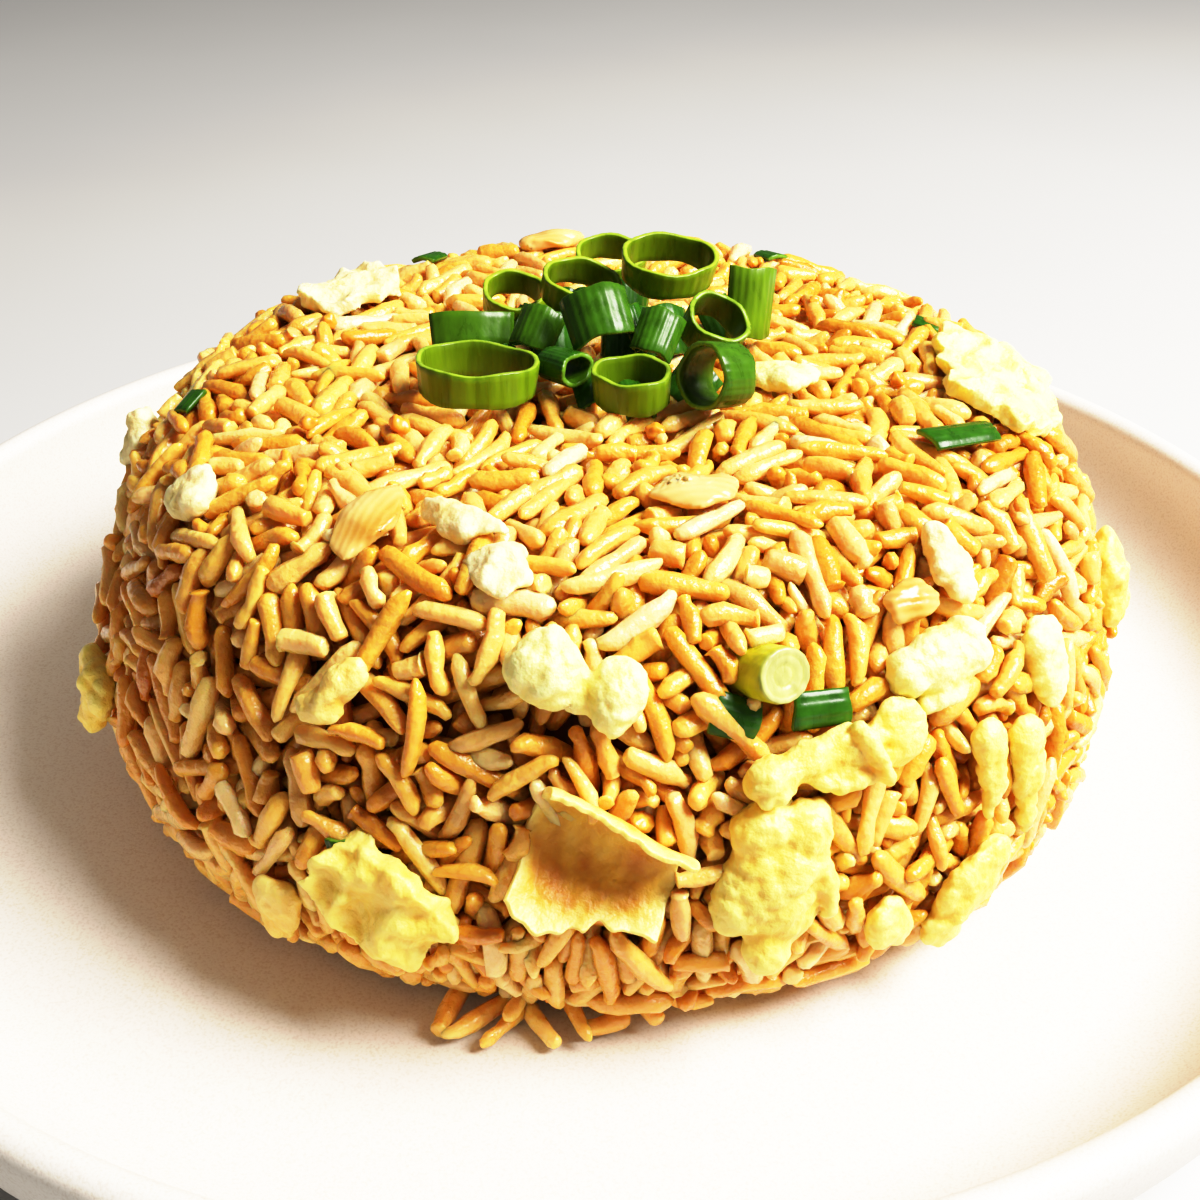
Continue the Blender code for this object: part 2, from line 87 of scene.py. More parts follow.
def new_material(name):
    """An empty node material with its Principled shader, ready for links."""
    made = bpy.data.materials.new(name)
    made.use_nodes = True
    return made, made.node_tree, made.node_tree.nodes["Principled BSDF"]


floor_material, tree, shader = new_material("table")
grain = tree.nodes.new("ShaderNodeTexNoise")
grain.inputs["Scale"].default_value = 9.0
ramp = tree.nodes.new("ShaderNodeValToRGB")
ramp.color_ramp.elements[0].color = (0.52, 0.52, 0.52, 1.0)
ramp.color_ramp.elements[1].color = (0.58, 0.58, 0.575, 1.0)
where = tree.nodes.new("ShaderNodeTexCoord")
tree.links.new(where.outputs["Object"], grain.inputs["Vector"])
tree.links.new(grain.outputs["Fac"], ramp.inputs["Fac"])
tree.links.new(ramp.outputs["Color"], shader.inputs["Base Color"])
shader.inputs["Roughness"].default_value = 0.45
bpy.ops.mesh.primitive_plane_add(size=6.0, location=(0.0, 1.5, -0.0002))
floor = bpy.context.object
floor.name = "table_top"
floor.data.materials.append(floor_material)

key_data = bpy.data.lights.new("key", "AREA")
key_data.shape = "DISK"
key_data.size = KEY_SIZE
key_data.energy = KEY_POWER
key_data.color = KEY_COLOUR
key = bpy.data.objects.new("key", key_data)
turn, rise = math.radians(KEY_BEARING), math.radians(KEY_HEIGHT)
towards = Vector((math.cos(turn) * math.cos(rise), math.sin(turn) * math.cos(rise), math.sin(rise)))
key.location = towards * KEY_DISTANCE
key.rotation_euler = towards.to_track_quat("Z", "Y").to_euler()
scene.collection.objects.link(key)

sky = bpy.data.worlds.new("sky")
sky.use_nodes = True
sky.node_tree.nodes["Background"].inputs["Color"].default_value = (*SKY_COLOUR, 1.0)
sky.node_tree.nodes["Background"].inputs["Strength"].default_value = SKY_STRENGTH
scene.world = sky

# ---------------------------------------------------------------------------------------------
# Plate.  A thrown and turned stoneware side plate: flat well, quarter-round wall, rolled lip,
# plain foot ring, in a satin warm-white glaze that breaks into a very fine speckle.
PLATE_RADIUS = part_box("plate")[1][0]
PLATE_WALL = 3.5 * MM
COVE_RADIUS = 14.5 * MM
WELL_HEIGHT = 6.0 * MM
FOOT_OUTER = 57.5 * MM
FOOT_WIDTH = 5.0 * MM
FOOT_DEPTH = 2.0 * MM
PLATE_STEPS = 192


def mesh_object(name, bm, material):
    """A finished piece: its own mesh at the origin, shaded smooth, with its material."""
    mesh = bpy.data.meshes.new(name)
    bm.to_mesh(mesh)
    bm.free()
    mesh.shade_smooth()
    mesh.materials.append(material)
    piece = bpy.data.objects.new(name, mesh)
    scene.collection.objects.link(piece)
    return piece


def arc(centre, radius, start, end, steps):
    turns = [math.radians(start + (end - start) * i / steps) for i in range(steps + 1)]
    return [(centre[0] + radius * math.cos(a), centre[1] + radius * math.sin(a)) for a in turns]


def round_corners(points, radius):
    """Replace each inner corner of an open outline by two points and a middle one."""
    result = [points[0]]
    for before, here, after in zip(points, points[1:], points[2:]):
        a = Vector(before) - Vector(here)
        b = Vector(after) - Vector(here)
        cut = min(radius, a.length * 0.45, b.length * 0.45)
        first, last = Vector(here) + a.normalized() * cut, Vector(here) + b.normalized() * cut
        middle = (first + last) / 4 + Vector(here) / 2
        result += [tuple(first), tuple(middle), tuple(last)]
    result.append(points[-1])
    return result


cove = (PLATE_RADIUS - PLATE_WALL - COVE_RADIUS, WELL_HEIGHT + COVE_RADIUS)
lip = (PLATE_RADIUS - PLATE_WALL / 2, cove[1])
outline = [(0.0, WELL_HEIGHT), (cove[0] * 0.5, WELL_HEIGHT), (cove[0] * 0.85, WELL_HEIGHT)]
outline += arc(cove, COVE_RADIUS, -90, 0, 24)
outline += arc(lip, PLATE_WALL / 2, 180, 0, 12)[1:-1]
outline += arc(cove, COVE_RADIUS + PLATE_WALL, 0, -90, 24)
foot = round_corners([
    (cove[0], WELL_HEIGHT - PLATE_WALL),
    (FOOT_OUTER, WELL_HEIGHT - PLATE_WALL),
    (FOOT_OUTER - FOOT_WIDTH * 0.15, 0.0),
    (FOOT_OUTER - FOOT_WIDTH * 0.85, 0.0),
    (FOOT_OUTER - FOOT_WIDTH, FOOT_DEPTH),
    (0.0, FOOT_DEPTH),
], 0.7 * MM)
outline += foot[1:]

bm = bmesh.new()
corners = [bm.verts.new((radius, 0.0, height)) for radius, height in outline]
edges = [bm.edges.new(pair) for pair in zip(corners, corners[1:])]
bmesh.ops.spin(bm, geom=corners + edges, cent=(0, 0, 0), axis=(0, 0, 1),
               angle=math.tau, steps=PLATE_STEPS, use_merge=True)
bmesh.ops.remove_doubles(bm, verts=bm.verts, dist=0.001 * MM)
bmesh.ops.recalc_face_normals(bm, faces=bm.faces)

glaze, tree, shader = new_material("stoneware_glaze")
where = tree.nodes.new("ShaderNodeTexCoord")
speck = tree.nodes.new("ShaderNodeTexNoise")
speck.inputs["Scale"].default_value = 3600.0
speck.inputs["Detail"].default_value = 3.0
speck_ramp = tree.nodes.new("ShaderNodeValToRGB")
speck_ramp.color_ramp.elements[0].position = 0.30
speck_ramp.color_ramp.elements[0].color = (0.67, 0.60, 0.52, 1.0)
speck_ramp.color_ramp.elements[1].position = 0.52
speck_ramp.color_ramp.elements[1].color = (0.78, 0.73, 0.665, 1.0)
cloud = tree.nodes.new("ShaderNodeTexNoise")
cloud.inputs["Scale"].default_value = 40.0
cloud.inputs["Detail"].default_value = 4.0
tone = tree.nodes.new("ShaderNodeMixRGB")
tone.blend_type = "MULTIPLY"
tone.inputs["Fac"].default_value = 1.0
cloud_ramp = tree.nodes.new("ShaderNodeValToRGB")
cloud_ramp.color_ramp.elements[0].color = (0.95, 0.935, 0.92, 1.0)
cloud_ramp.color_ramp.elements[1].color = (1.0, 1.0, 1.0, 1.0)
rough = tree.nodes.new("ShaderNodeMapRange")
rough.inputs["To Min"].default_value = 0.42
rough.inputs["To Max"].default_value = 0.62
bump = tree.nodes.new("ShaderNodeBump")
bump.inputs["Strength"].default_value = 0.12
bump.inputs["Distance"].default_value = 0.0002
for texture in (speck, cloud):
    tree.links.new(where.outputs["Object"], texture.inputs["Vector"])
tree.links.new(speck.outputs["Fac"], speck_ramp.inputs["Fac"])
tree.links.new(cloud.outputs["Fac"], cloud_ramp.inputs["Fac"])
tree.links.new(speck_ramp.outputs["Color"], tone.inputs["Color1"])
tree.links.new(cloud_ramp.outputs["Color"], tone.inputs["Color2"])
tree.links.new(tone.outputs["Color"], shader.inputs["Base Color"])
tree.links.new(speck.outputs["Fac"], rough.inputs["Value"])
tree.links.new(rough.outputs["Result"], shader.inputs["Roughness"])
tree.links.new(speck.outputs["Fac"], bump.inputs["Height"])
tree.links.new(bump.outputs["Normal"], shader.inputs["Normal"])
plate = mesh_object("stoneware_plate", bm, glaze)
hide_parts("plate")
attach(plate, "root")

# ---------------------------------------------------------------------------------------------
# Rice core.  The imported middle of the mound, which shows only in the gaps between the grains,
# painted a deep brown, much darker than the rice, as shade in those gaps: rounded and rumpled like rice
# pressed together.
rice_low = Vector(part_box("rice")[0])
MOUND_AXIS = Vector((2.4 * MM, -0.5 * MM, 0.0))
MOUND_FLOOR = rice_low.z
MOUND_HEIGHT = 44.3 * MM
MOUND_BASE_RADIUS = 50.0 * MM
MOUND_RADIUS = 57.0 * MM
WIDEST_AT = 15.5 * MM
SHOULDER_POWER = 10                 # how squarely the side turns into the flat top
BASE_ROUNDING = 3                   # power of the tuck under the widest line
CORE_DEPTH = 5.6 * MM               # how far the core lies below the mound's surface


def mound_radius(height):
    """Radius of the smooth mound at a height above the plate."""
    height = np.clip(height, 0.0, MOUND_HEIGHT)
    tucked = MOUND_RADIUS - (MOUND_RADIUS - MOUND_BASE_RADIUS) * (1.0 - height / WIDEST_AT) ** BASE_ROUNDING
    share = np.clip((height - WIDEST_AT) / (MOUND_HEIGHT - WIDEST_AT), 0.0, 1.0)
    domed = MOUND_RADIUS * (1.0 - share) ** (1.0 / SHOULDER_POWER)
    return np.where(height < WIDEST_AT, tucked, domed)


def core_radius(height):
    """Radius of the core: the mound's, drawn in on all sides."""
    stretched = height * MOUND_HEIGHT / (MOUND_HEIGHT - CORE_DEPTH)
    return np.maximum(mound_radius(stretched) - CORE_DEPTH, 0.0)


CORE_COLUMNS, SIDE_ROWS, TOP_ROWS = 220, 46, 24
CORE_RUMPLE = 1.6 * MM
bm = bmesh.new()
CORE_TOP = MOUND_HEIGHT - CORE_DEPTH
side = [(float(core_radius(height)), height) for height in np.linspace(0.0, CORE_TOP * 0.985, SIDE_ROWS)]
top = [(side[-1][0] * share, CORE_TOP) for share in np.linspace(0.985, 0.02, TOP_ROWS)]
rings = []
for radius, height in side + top:
    ring = []
    for column in range(CORE_COLUMNS):
        turn = math.tau * column / CORE_COLUMNS
        outward = Vector((math.sin(turn), -math.cos(turn), 0.0))
        point = MOUND_AXIS + outward * radius + Vector((0, 0, MOUND_FLOOR + height))
        rumple = (noise.voronoi(point * 420.0)[0][0] - 0.4) * CORE_RUMPLE
        point += outward * 0.8 * rumple
        if height > 0:
            point.z += 0.25 * rumple
        ring.append(bm.verts.new(point))
    rings.append(ring)
for lower, upper in zip(rings, rings[1:]):
    for i in range(CORE_COLUMNS):
        j = (i + 1) % CORE_COLUMNS
        bm.faces.new((lower[i], lower[j], upper[j], upper[i]))
bm.faces.new(list(reversed(rings[0])))
bm.faces.new(rings[-1])
bmesh.ops.recalc_face_normals(bm, faces=bm.faces)

core_shade_material, tree, shader = new_material("rice_core")
where = tree.nodes.new("ShaderNodeTexCoord")
patch = tree.nodes.new("ShaderNodeTexNoise")
patch.inputs["Scale"].default_value = 260.0
patch.inputs["Detail"].default_value = 4.0
core_shade_ramp = tree.nodes.new("ShaderNodeValToRGB")
# these deep browns are painted shade for the gaps between the grains
core_shade_ramp.color_ramp.elements[0].position = 0.35
core_shade_ramp.color_ramp.elements[0].color = (0.16, 0.045, 0.008, 1.0)
core_shade_ramp.color_ramp.elements[1].position = 0.70
core_shade_ramp.color_ramp.elements[1].color = (0.42, 0.17, 0.03, 1.0)
tree.links.new(where.outputs["Object"], patch.inputs["Vector"])
tree.links.new(patch.outputs["Fac"], core_shade_ramp.inputs["Fac"])
tree.links.new(core_shade_ramp.outputs["Color"], shader.inputs["Base Color"])
shader.inputs["Roughness"].default_value = 0.5
core = mesh_object("rice_core", bm, core_shade_material)
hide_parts("rice")
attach(core, "root")

# ---------------------------------------------------------------------------------------------
# Rice grains.  Cooked long grain rice, fried in oil and soy: each grain a bent, blunt-ended
# spindle, pressed against the bowl that shaped the mound.  The grains are packed as chains of
# beads that push each other apart until they lie side by side without passing through.
GRAIN_LENGTH = 7.7 * MM
GRAIN_GIRTH = 1.03 * MM             # half width
GRAIN_COUNT = 4400
GRAIN_TILT = 0.28                   # how far grains lean out of the surface that pressed them
GRAIN_BEND = 0.10
BEADS = 4
PACK_ROUNDS = 80
PACK_DEPTH = 6.8 * MM
PULL_OUT = 0.10 * MM                # first round's pull towards the mould, which fades to none
FREE_FACE = 1.5 * MM                # nearer the mould than this, a wall is the mound's own outside
POCKET_PRESS = 0.35 * MM            # how far a grain may press into a soft topping
MOULD_PRESS = 1.1 * MM              # how far the proudest grains stand out of the mould's shape
packing = np.random.default_rng(11)


def mesh_arrays(thing):
    """Corner points and triangles of an object's mesh."""
    mesh = thing.data
    mesh.calc_loop_triangles()
    points = np.empty(len(mesh.vertices) * 3)
    mesh.vertices.foreach_get("co", points)
    triangles = np.empty(len(mesh.loop_triangles) * 3, dtype=np.int32)
    mesh.loop_triangles.foreach_get("vertices", triangles)
    return points.reshape(-1, 3), triangles.reshape(-1, 3)


def surface_tree(thing):
    points, triangles = mesh_arrays(thing)
    return BVHTree.FromPolygons(points.tolist(), triangles.tolist())


rice_points, rice_triangles = mesh_arrays(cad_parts["rice"])
rice_surface = surface_tree(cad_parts["rice"])


def random_units(count):
    spread = packing.normal(size=(count, 3))
    return spread / np.linalg.norm(spread, axis=1, keepdims=True)


def sample_surface(count):
    """Random points on the mound's outside and the directions out of it there."""
    a, b, c = (rice_points[rice_triangles[:, k]] for k in range(3))
    cross = np.cross(b - a, c - a)
    area = np.linalg.norm(cross, axis=1)
    normal = cross / np.maximum(area, 1e-12)[:, None]
    on_plate = (normal[:, 2] < -0.9) & (a[:, 2] < MOUND_FLOOR + 0.5 * MM)
    weight = np.where(on_plate, 0.0, area)
    pick = packing.choice(len(area), size=count, p=weight / weight.sum())
    u, v = packing.random(count), packing.random(count)
    fold = u + v > 1.0
    u, v = np.where(fold, 1.0 - u, u), np.where(fold, 1.0 - v, v)
    point = a[pick] + u[:, None] * (b - a)[pick] + v[:, None] * (c - a)[pick]
    return point, normal[pick]


def near_pairs(points, owner, reach):
    """Every pair of beads of different grains that are closer than a reach."""
    cells = np.floor(points / reach).astype(np.int64)
    cells -= cells.min(axis=0) - 1
    span = cells.max(axis=0) + 2
    keys = (cells[:, 0] * span[1] + cells[:, 1]) * span[2] + cells[:, 2]
    order = np.argsort(keys, kind="stable")
    ranked = keys[order]
    first, second = [], []
    for dx in (-1, 0, 1):
        for dy in (-1, 0, 1):
            for dz in (-1, 0, 1):
                if (dx, dy, dz) < (0, 0, 0):
                    continue
                target = ranked + (dx * span[1] + dy) * span[2] + dz
                start = np.searchsorted(ranked, target, "left")
                count = np.searchsorted(ranked, target, "right") - start
                here = np.repeat(np.arange(len(ranked)), count)
                step = np.arange(count.sum()) - np.repeat(np.cumsum(count) - count, count)
                there = np.repeat(start, count) + step
                if (dx, dy, dz) == (0, 0, 0):
                    keep = there > here
                    here, there = here[keep], there[keep]
                first.append(order[here])
                second.append(order[there])
    a, b = np.concatenate(first), np.concatenate(second)
    close = (owner[a] != owner[b]) & (np.linalg.norm(points[a] - points[b], axis=1) < reach)
    return a[close], b[close]


def turn_matrices(vectors):
    """Rotation matrices for an array of turn vectors."""
    angle = np.linalg.norm(vectors, axis=1)
    axis = vectors / np.maximum(angle, 1e-9)[:, None]
    x, y, z = axis.T
    zero = np.zeros_like(x)
    skew = np.stack([zero, -z, y, z, zero, -x, -y, x, zero], axis=1).reshape(-1, 3, 3)
    sine, versine = np.sin(angle)[:, None, None], (1.0 - np.cos(angle))[:, None, None]
    return np.eye(3) + sine * skew + versine * (skew @ skew)


# Each grain: a place, a 3x3 turn whose columns are its length, side and bend directions.
point, outward = sample_surface(GRAIN_COUNT)
depth = packing.uniform(0.9 * MM, PACK_DEPTH, GRAIN_COUNT)
place = point - outward * depth[:, None]
lie = random_units(GRAIN_COUNT)
flat = lie - (lie * outward).sum(axis=1, keepdims=True) * outward
lean = packing.normal(0.0, GRAIN_TILT, (GRAIN_COUNT, 1))
flat += outward * lean * np.linalg.norm(flat, axis=1, keepdims=True)
along = flat / np.linalg.norm(flat, axis=1, keepdims=True)
across = np.cross(random_units(GRAIN_COUNT), along)
across /= np.linalg.norm(across, axis=1, keepdims=True)
turns = np.stack([along, across, np.cross(along, across)], axis=2)
long = np.clip(packing.normal(1.0, 0.15, GRAIN_COUNT), 0.62, 1.22)
broken = packing.random(GRAIN_COUNT) < 0.22
long[broken] *= packing.uniform(0.45, 0.80, broken.sum())
stout = np.clip(packing.normal(1.0, 0.09, GRAIN_COUNT), 0.80, 1.22)
girth = GRAIN_GIRTH * stout
bead_along = np.linspace(-1.0, 1.0, BEADS)
half = GRAIN_LENGTH * long / 2 - girth
beads = np.zeros((GRAIN_COUNT, BEADS, 3))
beads[:, :, 0] = half[:, None] * bead_along
beads[:, :, 2] = -half[:, None] * GRAIN_BEND * (bead_along ** 2 - 0.5)
owner = np.repeat(np.arange(GRAIN_COUNT), BEADS)
size = np.repeat(girth, BEADS)
inertia = (beads ** 2).sum(axis=(1, 2)) + (girth ** 2)
proud = np.repeat(MOULD_PRESS * packing.random(GRAIN_COUNT) ** 2, BEADS)


def mould_depth(spots):
    """How deep points lie under the smooth mound that the mould left."""
    reach = np.linalg.norm(spots[:, :2] - np.array(MOUND_AXIS[:2]), axis=1)
    level = spots[:, 2] - MOUND_FLOOR
    return np.minimum(mound_radius(level) - reach, MOUND_HEIGHT - level)


for round_number in range(PACK_ROUNDS):
    arms = np.einsum("gij,gbj->gbi", turns, beads)
    spots = (place[:, None, :] + arms).reshape(-1, 3)
    if round_number % 6 == 0:
        pair_a, pair_b = near_pairs(spots, owner, 2 * GRAIN_GIRTH + 1.6 * MM)
    apart = spots[pair_a] - spots[pair_b]
    distance = np.linalg.norm(apart, axis=1)
    overlap = size[pair_a] + size[pair_b] - distance
    touching = overlap > 0
    a, b = pair_a[touching], pair_b[touching]
    push = apart[touching] * (overlap[touching] / np.maximum(distance[touching], 1e-6))[:, None] * 0.5
    move = np.zeros_like(spots)
    weight = np.zeros(len(spots))
    for k in range(3):
        move[:, k] = np.bincount(a, push[:, k], len(spots)) - np.bincount(b, push[:, k], len(spots))
    # the mould and the toppings: keep every bead inside the mound's solid
    if round_number % 2 == 0 or round_number > PACK_ROUNDS - 6:
        wall = np.zeros_like(spots)
        found_at, faced, room = np.empty_like(spots), np.empty_like(spots), np.empty(len(spots))
        for index, spot in enumerate(spots.tolist()):
            found, facing, _, gap = rice_surface.find_nearest(spot)
            inside = (found - Vector(spot)).dot(facing)
            found_at[index], faced[index] = found, facing
            room[index] = gap if inside > 0 else -gap
        off_plate = found_at[:, 2] > MOUND_FLOOR + 1.0 * MM
        free_face = (np.abs(mould_depth(found_at)) < FREE_FACE) & off_plate
        room += np.where(free_face, proud, POCKET_PRESS) - size
        out = room < 0
        wall[out] = faced[out] * room[out][:, None]
    move += wall * (1.0 if round_number % 2 == 0 else 0.5)
    # the core: push out whatever sinks into it
    flat_spot = spots[:, :2] - np.array(MOUND_AXIS[:2])
    reach = np.linalg.norm(flat_spot, axis=1)
    level = spots[:, 2] - MOUND_FLOOR
    side_sink = core_radius(level) + size - reach
    top_sink = MOUND_HEIGHT - CORE_DEPTH + size - level
    sunk = (side_sink > 0) & (top_sink > 0)
    by_side = sunk & (side_sink < top_sink)
    by_top = sunk & ~by_side
    move[by_side, :2] += flat_spot[by_side] / reach[by_side][:, None] * side_sink[by_side][:, None] * 0.6
    move[by_top, 2] += top_sink[by_top] * 0.6
    # a light pull outwards keeps the outer layer against the mould
    pull = PULL_OUT * (1.0 - round_number / PACK_ROUNDS)
    outer = np.minimum(reach / MOUND_RADIUS, 1)[:, None] ** 3
    move[:, :2] += flat_spot / np.maximum(reach, 1e-6)[:, None] * pull * outer
    move[:, 2] += pull * (level > MOUND_HEIGHT * 0.72)
    grain_move = move.reshape(GRAIN_COUNT, BEADS, 3)
    place += grain_move.mean(axis=1) * 1.25
    torque = np.cross(arms, grain_move).sum(axis=1) / inertia[:, None]
    torque *= np.minimum(1.0, 0.35 / np.maximum(np.linalg.norm(torque, axis=1), 1e-9))[:, None]
    turns = turn_matrices(torque) @ turns

GRAIN_SIDES = 8
GRAIN_STATIONS = (0.985, 0.90, 0.68, 0.27)      # rings either side of a grain's middle
GRAIN_BLUNTNESS = 4.6               # power of its rounding: 2 is an egg, higher is blunter
GRAIN_DENTS = 0.10                  # unevenness of its girth
whittling = np.random.default_rng(5)


def grain_mesh(name, bow, taper, cuts):
    """One grain along X, a unit long and thick each way: bow bends it, taper thins one end."""
    builder = bmesh.new()
    rings = []
    slant = whittling.uniform(-0.07, 0.07, 2)
    for share in [-end for end in GRAIN_STATIONS] + [end for end in reversed(GRAIN_STATIONS)]:
        thick = (1.0 - abs(share) ** GRAIN_BLUNTNESS) ** 0.5 * (1.0 - taper * (share * 0.5 + 0.5))
        tip = share > 0
        spread = 0.0
        if cuts > (0 if tip else 1) and abs(share) > 0.8:
            thick = (0.62 if abs(share) > 0.95 else 0.88) * (1.0 - taper * tip)
            share = math.copysign(0.80 + (abs(share) - 0.90) * 0.5, share)
            spread = slant[int(tip)]
        dent = 1.0 + whittling.normal(0.0, GRAIN_DENTS)
        aside = whittling.normal(0.0, GRAIN_DENTS * 0.7, 2)
        ring = []
        for i in range(GRAIN_SIDES):
            turn = math.tau * i / GRAIN_SIDES
            groove = 1.0 - 0.14 * max(0.0, math.cos(turn - 0.6)) ** 6
            facet = 1.0 + whittling.normal(0.0, GRAIN_DENTS * 0.45)
            reach = thick * groove * dent * facet
            ring.append(builder.verts.new((
                share + spread * math.cos(turn),
                math.cos(turn) * reach * 1.08 + aside[0] * thick,
                math.sin(turn) * reach * 0.92 + aside[1] * thick - bow * (share * share - 0.5),
            )))
        rings.append(ring)
    for near, far in zip(rings, rings[1:]):
        for i in range(GRAIN_SIDES):
            j = (i + 1) % GRAIN_SIDES
            builder.faces.new((near[i], near[j], far[j], far[i]))
    for ring, side in ((rings[0], -1.0), (rings[-1], 1.0)):
        middle = sum((vert.co for vert in ring), Vector()) / GRAIN_SIDES
        end = builder.verts.new(middle + Vector((0.018 * side, 0.0, 0.0)))
        for i in range(GRAIN_SIDES):
            builder.faces.new((ring[i], ring[(i + 1) % GRAIN_SIDES], end))
    bmesh.ops.recalc_face_normals(builder, faces=builder.faces)
    mesh = bpy.data.meshes.new(name)
    builder.to_mesh(mesh)
    builder.free()
    mesh.shade_smooth()
    return bpy.data.objects.new(name, mesh)


# Whole grains first, then grains with one broken end, then short ends broken off both sides.
GRAIN_BOWS = (0.25, 0.50, 0.10, 0.75, 0.40, 0.15, 0.60, 0.35, 0.20, 0.45, 0.10, 0.30)
WHOLE_KINDS, CUT_KINDS = 6, 4
shapes = bpy.data.collections.new("grain_shapes")
for number, bow in enumerate(GRAIN_BOWS):
    cuts = 0 if number < WHOLE_KINDS else 1 if number < WHOLE_KINDS + CUT_KINDS else 2
    taper = 0.06 + 0.05 * (number % 4)
    shapes.objects.link(grain_mesh(f"grain_{number:02d}", bow, taper, cuts))


def scatter_tree(name, kinds, material):
    """Geometry Nodes: put a shape of a collection on each point, turned and sized by its attributes."""
    tree = bpy.data.node_groups.new(name, "GeometryNodeTree")
    tree.interface.new_socket("Geometry", in_out="INPUT", socket_type="NodeSocketGeometry")
    girth_socket = tree.interface.new_socket("Size", in_out="INPUT", socket_type="NodeSocketFloat")
    girth_socket.default_value = 1.0
    tree.interface.new_socket("Geometry", in_out="OUTPUT", socket_type="NodeSocketGeometry")
    nodes, links = tree.nodes, tree.links
    entry, leave = nodes.new("NodeGroupInput"), nodes.new("NodeGroupOutput")
    source = nodes.new("GeometryNodeCollectionInfo")
    source.inputs["Collection"].default_value = kinds
    source.inputs["Separate Children"].default_value = True
    source.inputs["Reset Children"].default_value = True
    instance = nodes.new("GeometryNodeInstanceOnPoints")
    instance.inputs["Pick Instance"].default_value = True
    named = {}
    for label, kind in (("turn", "FLOAT_VECTOR"), ("extent", "FLOAT_VECTOR"), ("form", "INT")):
        node = nodes.new("GeometryNodeInputNamedAttribute")
        node.data_type = kind
        node.inputs["Name"].default_value = label
        named[label] = node.outputs["Attribute"]
    rotate = nodes.new("FunctionNodeEulerToRotation")
    scale = nodes.new("ShaderNodeVectorMath")
    scale.operation = "SCALE"
    realize = nodes.new("GeometryNodeRealizeInstances")
    finish = nodes.new("GeometryNodeSetMaterial")
    finish.inputs["Material"].default_value = material
    links.new(entry.outputs["Geometry"], instance.inputs["Points"])
    links.new(source.outputs["Instances"], instance.inputs["Instance"])
    links.new(named["form"], instance.inputs["Instance Index"])
    links.new(named["turn"], rotate.inputs["Euler"])
    links.new(rotate.outputs["Rotation"], instance.inputs["Rotation"])
    links.new(named["extent"], scale.inputs[0])
    links.new(entry.outputs["Size"], scale.inputs["Scale"])
    links.new(scale.outputs["Vector"], instance.inputs["Scale"])
    links.new(instance.outputs["Instances"], realize.inputs["Geometry"])
    links.new(realize.outputs["Geometry"], finish.inputs["Geometry"])
    links.new(finish.outputs["Geometry"], leave.inputs["Geometry"])
    return tree


def scatter(name, places, turns, extents, forms, tints, kinds, material):
    """A plain mesh of shapes put on points: the nodes' result, with the modifier gone."""
    mesh = bpy.data.meshes.new(name + "_points")
    mesh.vertices.add(len(places))
    mesh.vertices.foreach_set("co", np.asarray(places, dtype=np.float32).ravel())
    pitch = np.arcsin(np.clip(-turns[:, 2, 0], -1.0, 1.0))
    roll = np.arctan2(turns[:, 2, 1], turns[:, 2, 2])
    yaw = np.arctan2(turns[:, 1, 0], turns[:, 0, 0])
    euler = np.stack([roll, pitch, yaw], axis=1)
    for label, kind, field, values in (
        ("turn", "FLOAT_VECTOR", "vector", euler),
        ("extent", "FLOAT_VECTOR", "vector", extents),
        ("form", "INT", "value", forms),
        ("tint", "FLOAT", "value", tints),
    ):
        layer = mesh.attributes.new(label, kind, "POINT")
        flat_values = np.asarray(values, dtype=np.int32 if kind == "INT" else np.float32).ravel()
        layer.data.foreach_set(field, flat_values)
    points = bpy.data.objects.new(name + "_points", mesh)
    scene.collection.objects.link(points)
    group = scatter_tree(name + "_scatter", kinds, material)
    modifier = points.modifiers.new("scatter", "NODES")
    modifier.node_group = group
    socket = next(item for item in group.interface.items_tree if item.name == "Size")
    modifier[socket.identifier] = 1.0
    graph = bpy.context.evaluated_depsgraph_get()
    made = bpy.data.meshes.new_from_object(points.evaluated_get(graph))
    made.name = name
    bpy.data.objects.remove(points, do_unlink=True)
    piece = bpy.data.objects.new(name, made)
    scene.collection.objects.link(piece)
    return piece


